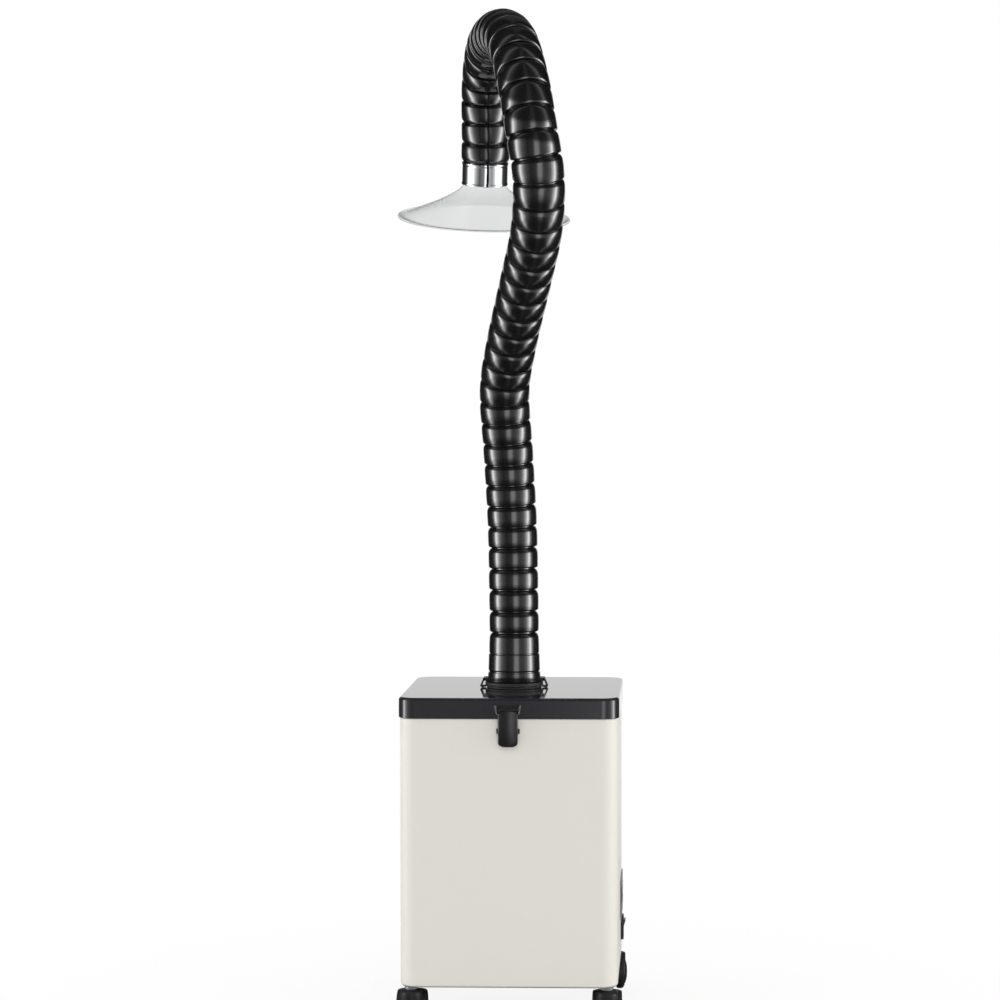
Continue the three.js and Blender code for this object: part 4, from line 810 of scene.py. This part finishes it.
def make_inlet():
    """Flange with its lip on the lid, round the spigot."""
    top = FLANGE_Z + FLANGE_HEIGHT
    lip, under = FLANGE_RADIUS + FLANGE_LIP, top - FLANGE_LIP_HEIGHT
    bore, foot = SPIGOT_RADIUS - SPIGOT_WALL, LID_UNDER_Z - SPIGOT_DROP
    flange = [(bore, foot), (SPIGOT_RADIUS, foot), (SPIGOT_RADIUS, FLANGE_Z), (FLANGE_RADIUS, FLANGE_Z),
              (FLANGE_RADIUS, under), (lip, under), (lip, top), (SPIGOT_RADIUS, top),
              (SPIGOT_RADIUS, SPIGOT_Z), (bore, SPIGOT_Z)]
    piece("inlet_ring", *turned(filleted(flange, radius=0.8)), "matt_black", "lid", "inlet_flange",
          material=INLET)


def cuff_lugs():
    """Two lugs and a pin for the clip at each side of the cuff."""
    pivot, _ = joint("clip_right_swing")
    x, z = pivot.x / MM, pivot.z / MM
    half, ease = CLIP_BARREL_RADIUS, 0.9
    near, far = x + half / 3, x + half
    outline = filleted([(LUG_ROOT, -half), (near, -half), (far, -half / 2), (far, half / 2), (near, half),
                        (LUG_ROOT, half)], ease)
    inner = CLIP_WIDTH / 2 + RUN
    outer = inner + CLIP_LUG
    shells = []
    for side in (-1, 1):
        for span in ((-outer, -inner), (inner, outer)):
            shells.append(skin([[(side * u, y, z + v) for u, v in outline] for y in span], capped=True))
        pin = rod(CLIP_PIN_RADIUS, -outer, outer, sides=20)
        shells.append(moved(pin, Matrix.Translation((side * x, 0, z)) @ ALONG_Y))
    return shells


def make_cuff():
    """Cuff with a flared foot, a band like a short cup, and the lugs of the clips."""
    ball = LID_TOP_Z + HOSE_ROUTE[0][2]
    bore, stop, slope = SPIGOT_RADIUS + PLAY, SPIGOT_Z + 1, SPIGOT_Z + 4
    band, neck = ball - CUP, ball + CUP_TUCK
    outside = [(radius, base + height)
               for base, line in ((CUFF_Z, CUFF_FLARE), (CUFF_LINE_Z, CUFF_LINE), (band, CUFF_GROOVE))
               for radius, height in line]
    shoulder = [(radius, ball + height) for height, radius in SHOULDER]
    inside = [(CUP_NECK, neck), (HOSE_BORE, neck), (HOSE_BORE, slope), (bore, stop), (bore, CUFF_Z)]
    cuff = turned([*outside, (HOSE_RADIUS + CUFF_BELLY, band + CUP / 2), *shoulder, *inside])
    piece("hose_cuff_form", *joined(cuff, *cuff_lugs()), "hose_black", "arm_base", "hose_cuff")


def clip_outline():
    """Outline of a bent strip round its middle line."""
    line = filleted(CLIP_LINE, radius=1.4, steps=4, closed=False)
    left, right = [], []
    for i, point in enumerate(line):
        run = Vector(line[min(i + 1, len(line) - 1)]) - Vector(line[max(i - 1, 0)])
        off = Vector((-run.y, run.x)).normalized() * CLIP_THICKNESS / 2
        left.append(Vector(point) + off)
        right.append(Vector(point) - off)
    return [*left, *reversed(right)]


def make_clips():
    """Bent strips that hook under the lip of the flange."""
    outline = clip_outline()
    half, bore = CLIP_WIDTH / 2, CLIP_PIN_RADIUS + 0.2
    edge, inner = half - 0.2, half - 0.6
    curl = moved(tube(bore, CLIP_BARREL_RADIUS, half, ease=0.3, sides=32), ALONG_Y)
    for name, side in (("left", -1), ("right", 1)):
        pivot, _ = joint(f"clip_{name}_swing")
        rings = [[(side * p.x, y, p.y) for p in outline] for y in (-edge, -inner, inner, edge)]
        strip = skin(rings, capped=True)
        piece(f"clip_{name}_strip", *joined(strip, curl), "matt_black", f"clip_{name}", f"clip_{name}",
              matrix=Matrix.Translation(pivot))


# Hose

class Route:
    """Middle line of the hose, by length from the ball on the cuff."""

    DIVISIONS = 600

    def __init__(self):
        points = [Vector(p) + Vector((0, 0, LID_TOP_Z)) for p in HOSE_ROUTE]
        self.points = [2 * points[0] - points[1], *points, 2 * points[-1] - points[-2]]
        places = [self.at(i / self.DIVISIONS)[0] for i in range(self.DIVISIONS + 1)]
        self.lengths = [0.0]
        for a, b in zip(places, places[1:]):
            self.lengths.append(self.lengths[-1] + (b - a).length)
        self.length = self.lengths[-1]

    def at(self, t):
        """Middle and direction at a share of the line."""
        spans = len(self.points) - 3
        span = min(int(t * spans), spans - 1)
        w = t * spans - span
        a, b, c, d = self.points[span:span + 4]
        m, n = (c - a) / 2, (d - b) / 2
        place = (2 * b - 2 * c + m + n) * w ** 3 + (3 * c - 3 * b - 2 * m - n) * w ** 2 + m * w + b
        along = (2 * b - 2 * c + m + n) * 3 * w ** 2 + (3 * c - 3 * b - 2 * m - n) * 2 * w + m
        return place, along.normalized()

    def axes(self, length):
        """Middle and two directions across the hose at a length; past an end it runs on straight."""
        held = min(max(length, 0.0), self.length)
        low = next((i for i in range(self.DIVISIONS) if self.lengths[i + 1] >= held), self.DIVISIONS - 1)
        step = (held - self.lengths[low]) / (self.lengths[low + 1] - self.lengths[low])
        place, along = self.at((low + step) / self.DIVISIONS)
        across = (Vector((1, 0, 0)) - along * along.x).normalized()
        return place + along * (length - held), across, along.cross(across)

    def middle(self, length):
        """Middle at a length, in metres."""
        return self.axes(length)[0] * MM


ROUTE = Route()
CUP = ROUTE.length / sum(SECTION_CUPS)
CUP_SIDES = 56
CUP_BELLY = 0.2
CUP_NECK = 30.4
# How far the neck of a cup goes into the next one, and that of the last into the collar
CUP_TUCK = 1.6
TAIL_TUCK = 6
TAIL_LIFT = 2.0
# Outline of a cup as length and radius: from its foot, and from the ball at its top
SKIRT_START = 2.0
SKIRT = [(SKIRT_START, 30.2), (0.8, 30.5), (0.5, 31.5), (0.6, 33.0), (1.3, 34.2), (2.8, HOSE_RADIUS)]
SHOULDER = [(-7.6, HOSE_RADIUS), (-5.0, 34.4), (-3.0, 33.4), (-1.5, 32.1), (-0.6, 30.6)]
# Margins of the two points passed with each run of cups as its blend, whose points are not used: from the run's
# ends, and from the cuff and the collar
BEND_MARGIN = 12
END_MARGIN = 3


def hose_ring(length, radius):
    """Ring of points across the hose."""
    place, across, over = ROUTE.axes(length)
    return [place + across * x + over * y for x, y, _ in circle(radius, 0, CUP_SIDES)]


def cup_profile(foot, tail):
    """One cup, rounded in at its foot and at the shoulder under the next one, or in the collar."""
    lift, tuck = (TAIL_LIFT, TAIL_TUCK) if tail else (0.0, CUP_TUCK)
    belly = (CUP / 2, HOSE_RADIUS + CUP_BELLY)
    shoulder = [(CUP - lift + length, radius) for length, radius in SHOULDER]
    outline = [*SKIRT, belly, *shoulder, (CUP + tuck, CUP_NECK)]
    return [(foot + length, radius) for length, radius in outline]


def hose_piece(name, first, last, nodes, blend, tail=False):
    """Run of cups as one closed tube with its bore."""
    outline = []
    for cup in range(first, last):
        outline += cup_profile(cup * CUP, tail and cup == last - 1)
    outline.append((last * CUP + (TAIL_TUCK if tail else CUP_TUCK), HOSE_BORE))
    for cup in range(last, first - 1, -1):
        outline.append((cup * CUP + (0 if cup > first else SKIRT_START), HOSE_BORE))
    mesh = new_mesh(name, *skin([hose_ring(length, radius) for length, radius in outline]))
    dress(name, mesh, "hose_black", None, *nodes, sharp=40, blend=blend)


def make_hose():
    """Cups from the middle of one section to the middle of the next, laid along the hose's line past the joint
    between them.
    """
    begin, start, below = 0, 0, "arm_base"
    for number, cups in enumerate(SECTION_CUPS, 1):
        body = f"hose_{number:02d}"
        stop = start + math.ceil(cups / 2)
        low = begin * CUP + (BEND_MARGIN if number > 1 else END_MARGIN)
        blend = (below, body, ROUTE.middle(low), ROUTE.middle(stop * CUP - BEND_MARGIN))
        hose_piece(f"hose_bend_{number:02d}", begin, stop, [f"hose_section_{number:02d}"], blend)
        begin, start, below = stop, start + cups, body
    blend = (below, "collar", ROUTE.middle(begin * CUP + BEND_MARGIN), ROUTE.middle(start * CUP - END_MARGIN))
    hose_piece("hose_tail", begin, start, [], blend, tail=True)


# Collar and hood, from the last ball

# Beads of the collar as steps in from its radius and heights, from the ball and from its foot
UPPER_BEAD = [(0.9, 2), (0.2, 1.6), (0, 0.6), (0, -0.8), (0.5, -1.8), (0.6, -2.6)]
LOWER_BEAD = [(0.6, 4.2), (0.5, 3.4), (0, 2.4), (0, 1.0), (0.4, 0.2), (1.1, 0)]
# Hollow of the collar round the last ball, as radius and height
BALL_SEAT = [(29.4, -13), (31.0, -8.7), (31.8, -4.3), (32.0, 2)]
# End of the bell at its rim, as a step in and a share of the bead's radius
BELL_END = (0.6, 1.2)
HOOD_FOOT = -COLLAR_LENGTH
HOOD_TOP = HOOD_FOOT + HOOD_NECK_ENTRY


def hood_matrix():
    """Frame of the last ball, with Z back up the hose."""
    place, along = joint("hood_spin")
    across = (Vector((1, 0, 0)) - along * along.x).normalized()
    over = along.cross(across)
    turn = Matrix((across, -over, -along)).transposed().to_4x4()
    return Matrix.Translation(place) @ turn


def make_collar():
    """Ring with a bead at each end, a seat for the ball and a groove for the bead of the hood."""
    outside = [(COLLAR_RADIUS - step, base + height)
               for base, bead in ((0, UPPER_BEAD), (HOOD_FOOT, LOWER_BEAD)) for step, height in bead]
    neck, groove = HOOD_NECK + PLAY, HOOD_NECK + HOOD_BEAD + PLAY
    low, high = HOOD_TOP - HOOD_BEAD_HEIGHT - RUN, HOOD_TOP + RUN
    shelf = high + 1.5
    inside = [(neck, HOOD_FOOT), (neck, low), (groove, low), (groove, high), (HOSE_BORE, high),
              (HOSE_BORE, shelf)]
    piece("hood_ring", *turned([*outside, *inside, *BALL_SEAT], sides=96), "chrome", "collar", "hood_collar",
          matrix=hood_matrix())


def make_hood():
    """Trumpet with a thin wall, a bead along its rim and one round its neck."""
    steps, bead_steps, bead_start, bead_turn = 30, 8, 110, 35
    rim = HOOD_FOOT - HOOD_DROP
    throat = Vector((HOOD_NECK + HOOD_THROAT[0], rim + HOOD_THROAT[1] * HOOD_DROP))
    bell = Vector((HOOD_BELL[0] * HOOD_RADIUS, rim + HOOD_BELL[1] * HOOD_DROP))
    end = Vector((HOOD_RADIUS - BELL_END[0], rim + BELL_END[1] * HOOD_RIM))
    pulls = [Vector((HOOD_NECK, HOOD_FOOT)), throat, bell, end]
    outside = [curve(pulls, i / steps) for i in range(steps + 1)]
    inside = []
    for before, here, after in zip(outside, outside[1:], outside[2:]):
        run = (after - before).normalized()
        inside.append((here.x + run.y * HOOD_WALL, here.y - run.x * HOOD_WALL))
    bead = []
    for i in range(bead_steps + 1):
        angle = math.radians(bead_start - i * bead_turn)
        bead.append((HOOD_RADIUS + HOOD_RIM * math.cos(angle), rim + HOOD_RIM * (1 + math.sin(angle))))
    neck, collar = HOOD_NECK - HOOD_WALL, HOOD_NECK + HOOD_BEAD
    under = HOOD_TOP - HOOD_BEAD_HEIGHT
    profile = [(neck, HOOD_TOP), (collar, HOOD_TOP), (collar, under), (HOOD_NECK, under),
               *[tuple(p) for p in outside], *bead, *reversed(inside), (neck, HOOD_FOOT)]
    trumpet = turned(profile, sides=120)
    piece("hood_bell", *trumpet, "clear_hood", "hood", "hood", matrix=hood_matrix(), sharp=50)


# Casters

AXLE_Z = FLOOR_Z + WHEEL_RADIUS
WELL = WHEEL_RADIUS + FENDER_GAP
FENDER = WELL + FENDER_WALL
WEB = WHEEL_SPAN / 2 - WHEEL_WIDTH - RUN
FORK_TOP = -2.7
# Shoulder of the fork's neck, as steps in from its radius and heights from its top
NECK_SHOULDER = [(0, -5.3), (1.5, -1.7), (5, 0)]
# Outlines as radius and place along the axle: one half of the fender, and one wheel from its inner face out
FENDER_SIDE = [(ON_AXIS, 20.4), (27.4, 20.4), (28.8, 17.6), (FENDER, 12)]
WHEEL = [(ON_AXIS, 7.0), (7, 7.0), (7, 8.0), (19, 8.0), (21.5, 7.1), (23.4, 7.3), (24.6, 8.4),
         (WHEEL_RADIUS, 10.2), (WHEEL_RADIUS, 13.6), (24.6, 15.6), (23.6, 17.2), (21.6, 18.6), (20.4, 19.2),
         (20.0, 18.5), (19.2, 18.7), (17, 20.2), (13, 21.6), (8, 22.6), (ON_AXIS, 23.0)]


def make_fork():
    """Mesh of a fender with a well for each wheel, a web between them and a neck round the stem."""
    skim, play, foot = 0.1, 0.2, AXLE_Z + 12.5
    at_axle = Matrix.Translation((0, CASTER_TRAIL, AXLE_Z)) @ ALONG_X

    def lying(radius, low, high, sides=72):
        return "DIFFERENCE", moved(rod(radius, low, high, sides), at_axle)

    other_side = [(radius, -x) for radius, x in FENDER_SIDE]
    dome = filleted([*other_side, *reversed(FENDER_SIDE)], radius=2, closed=False)
    shoulder = [(NECK_RADIUS - step, FORK_TOP + height) for step, height in NECK_SHOULDER]
    neck = [(ON_AXIS, foot), (NECK_RADIUS, foot), *shoulder, (ON_AXIS, FORK_TOP)]
    web = box((RUN - WEB, 0, AXLE_Z - 5), (WEB - RUN, CASTER_TRAIL, FORK_TOP - 3))
    below = box((-60, -80, -110), (60, 110, AXLE_Z - 6))
    bore = rod(STEM_RADIUS + SEAT, AXLE_Z + 6, 5, sides=40)
    fork = combined(
        moved(turned(dome), at_axle),
        ("DIFFERENCE", below),
        lying(WELL, WEB, WHEEL_SPAN), lying(WELL, -WHEEL_SPAN, -WEB),
        ("UNION", web),
        ("UNION", turned(filleted(neck, radius=2, closed=False), sides=56)),
        lying(WELL - skim, WEB + skim, WHEEL_SPAN), lying(WELL - skim, -WHEEL_SPAN, -WEB - skim),
        ("DIFFERENCE", bore),
        lying(AXLE_RADIUS + play, -WHEEL_SPAN, WHEEL_SPAN, sides=32))
    return eased(fork, width=0.6)


def make_casters():
    """Twin wheels on their axle under a fender that turns on the stem."""
    fork = make_fork()
    wheel = turned(WHEEL)
    axle = WHEEL_SPAN / 2 - 1
    wheels = joined(moved(wheel, ALONG_X), moved(wheel, Matrix.Rotation(math.pi, 4, "Z") @ ALONG_X),
                    moved(rod(AXLE_RADIUS, -axle, axle, sides=32), ALONG_X))
    place = HALF - CASTER_INSET
    for name, sx, sy in (("fl", -1, -1), ("fr", 1, -1), ("rl", -1, 1), ("rr", 1, 1)):
        x, y = sx * place, sy * place
        copy = fork.copy()
        copy.transform(Matrix.Translation((x * MM, y * MM, 0)))
        dress(f"caster_fender_{name}", copy, "matt_black", f"fork_{name}", f"caster_fork_{name}")
        piece(f"caster_pair_{name}", *wheels, "rubber", f"wheels_{name}", f"caster_wheels_{name}",
              matrix=Matrix.Translation((x * MM, (y + CASTER_TRAIL) * MM, AXLE_Z * MM)))
        refined(f"caster_stem_{name}", "steel", "cabinet", width=0.4)


# Controls, socket and grille

# Rim round the rocker, as inset and rise
RIM = [(0, 0), (0, 1.2), (0.6, 1.8), (1.6, 1.8), (2.0, 1.4), (2.0, 0)]
RIM_SINK = 0.1
# The screen as rise and size, and a pad and a lamp as radius and rise
WINDOW = [(-0.5, 1.0), (0.5, 1.0), (0.7, 0.97)]
BUTTON = [(ON_AXIS, -0.5), (6.2, -0.5), (6.2, 0.4), (5.6, 0.9), (4.0, 0.7), (ON_AXIS, 0.6)]
LENS_OUTLINE = [(ON_AXIS, -0.5), (1.5, -0.5), (1.5, 0.4), (1.0, 0.9), (ON_AXIS, 1.0)]
# Places on the control plate, as depth and height
WINDOW_MIDDLE = (59, 96)
WINDOW_HALF = (17, 12)
PAD_PLACES = [(90, 102), (108, 102), (90, 82), (108, 82)]
LAMP_PLACES = [(46, 75), (54, 75), (62, 75), (70, 75)]
# Half sizes of a blade of the socket, and its ends behind the rear face
BLADE_HALF = (1.3, 2.3)
BLADE_ENDS = (16, 2.5)
SOCKET_EARS = (-20, 20)


def make_switch():
    """Housing and rocker with a raised rim round them."""
    refined("switch_housing", "matt_black", "cabinet", width=0.6)
    refined("power_rocker", "gloss_black", "rocker", width=0.7)
    base = FACE + SWITCH_BEZEL - RIM_SINK
    rings = []
    for inset, rise in RIM:
        outline = rectangle(SWITCH_MIDDLE, (SWITCH_WIDTH / 2 - inset, SWITCH_HEIGHT / 2 - inset), radius=2.0)
        rings.append([(base + rise, y, z) for y, z in outline])
    piece("switch_rim", *skin(rings), "matt_black", "cabinet")


def make_controls():
    """Plate with a screen, touch pads and lamps, and the switch below it."""
    refined("control_plate", "grey_plate", "cabinet", width=0.6)
    make_switch()
    face = FACE + PLATE_SHEET
    middle = Vector(WINDOW_MIDDLE)
    window = rectangle(WINDOW_MIDDLE, WINDOW_HALF, radius=3)
    glass = []
    for rise, size in WINDOW:
        outline = [middle + (Vector(p) - middle) * size for p in window]
        glass.append([(face + rise, p.x, p.y) for p in outline])
    piece("control_window", *skin(glass, capped=True), "gloss_black", "cabinet", material=SCREEN)
    pad, lamp = turned(BUTTON, sides=40), turned(LENS_OUTLINE, sides=20)
    pads = [moved(pad, Matrix.Translation((face, y, z)) @ ALONG_X) for y, z in PAD_PLACES]
    piece("control_pads", *joined(*pads), "grey_plate", "cabinet", material=PAD)
    lamps = [moved(lamp, Matrix.Translation((face, y, z)) @ ALONG_X) for y, z in LAMP_PLACES]
    piece("control_lamps", *joined(*lamps), "board_green", "cabinet", material=LAMP)


def make_rear():
    """Grille and socket with their screws, and the socket's blades."""
    refined("exhaust_grille", "matt_black", "cabinet", width=0.5)
    refined("mains_inlet", "matt_black", "cabinet", width=0.4)
    (socket_x, socket_z), (grille_x, grille_z) = SOCKET_MIDDLE, GRILLE_MIDDLE
    across, up = BLADE_HALF
    back, front = [HALF - depth for depth in BLADE_ENDS]
    blades = []
    for x, z in SOCKET_PINS:
        u, v = socket_x + x, socket_z + z
        blades.append(box((u - across, back, v - up), (u + across, front, v + up)))
    mesh = new_mesh("socket_pins", *joined(*blades))
    dress("socket_pins", eased(mesh, width=0.5), "steel", "cabinet", material=BRASS)
    beside, above = (GRILLE_WIDTH - GRILLE_BORDER) / 2, (GRILLE_HEIGHT - GRILLE_BORDER) / 2
    corners = [(grille_x + x, FACE + GRILLE_SHEET, grille_z + z)
               for x in (-beside, beside) for z in (-above, above)]
    make_screws("grille_screws", "cabinet", corners, radius=2.6)
    ears = [(socket_x + x, FACE + SOCKET_FLANGE, socket_z) for x in SOCKET_EARS]
    make_screws("socket_screws", "cabinet", ears, radius=2.4)


# Pre-filter

PLEATS = 26
PLEAT_DEPTH = 4.6
PLEAT_SINK = 1.2
PLEAT_LAP = 0.5
PLEAT_FOOT = 1


def make_prefilter():
    """Filter frame with its pleated sheet."""
    top = RIM_Z - FILTER_DEPTH
    low = top - PREFILTER_HEIGHT
    outer = LEDGE + FILTER_GAP
    inner = outer + FILTER_FRAME
    shell = cabinet_body(filleted([(outer, low), (outer, top), (inner, top), (inner, low)], radius=1.0))
    half = HALF - inner + PLEAT_LAP
    ridge = []
    for i in range(2 * PLEATS + 1):
        ridge.append((-half + i * half / PLEATS, top - PLEAT_SINK - PLEAT_DEPTH * (i % 2)))
    foot = low + PLEAT_FOOT
    outline = filleted(ridge, radius=1.2, closed=False) + [(half, foot), (-half, foot)]
    sheet = skin([[(x, y, z) for y, z in outline] for x in (-half, half)], capped=True)
    piece("pre_filter_sheet", *joined(shell, sheet), "filter_white", "cabinet", "pre_filter")


def paint_rest():
    """Finish of the CAD nodes that keep their own shape."""
    slots = {part["node"]: part["material_slot"] for part in frame["record"]["subparts"]}
    for name, node in frame["nodes"].items():
        node.data.materials.clear()
        node.data.materials.append(MATERIALS[slots[name]])


bpy.context.scene.view_settings.view_transform = "Standard"
make_camera()
make_floor()
make_light()
paint_rest()
make_cabinet()
make_lid()
make_hinge()
make_latch()
make_inlet()
make_cuff()
make_clips()
make_hose()
make_collar()
make_hood()
make_casters()
make_controls()
make_rear()
make_prefilter()
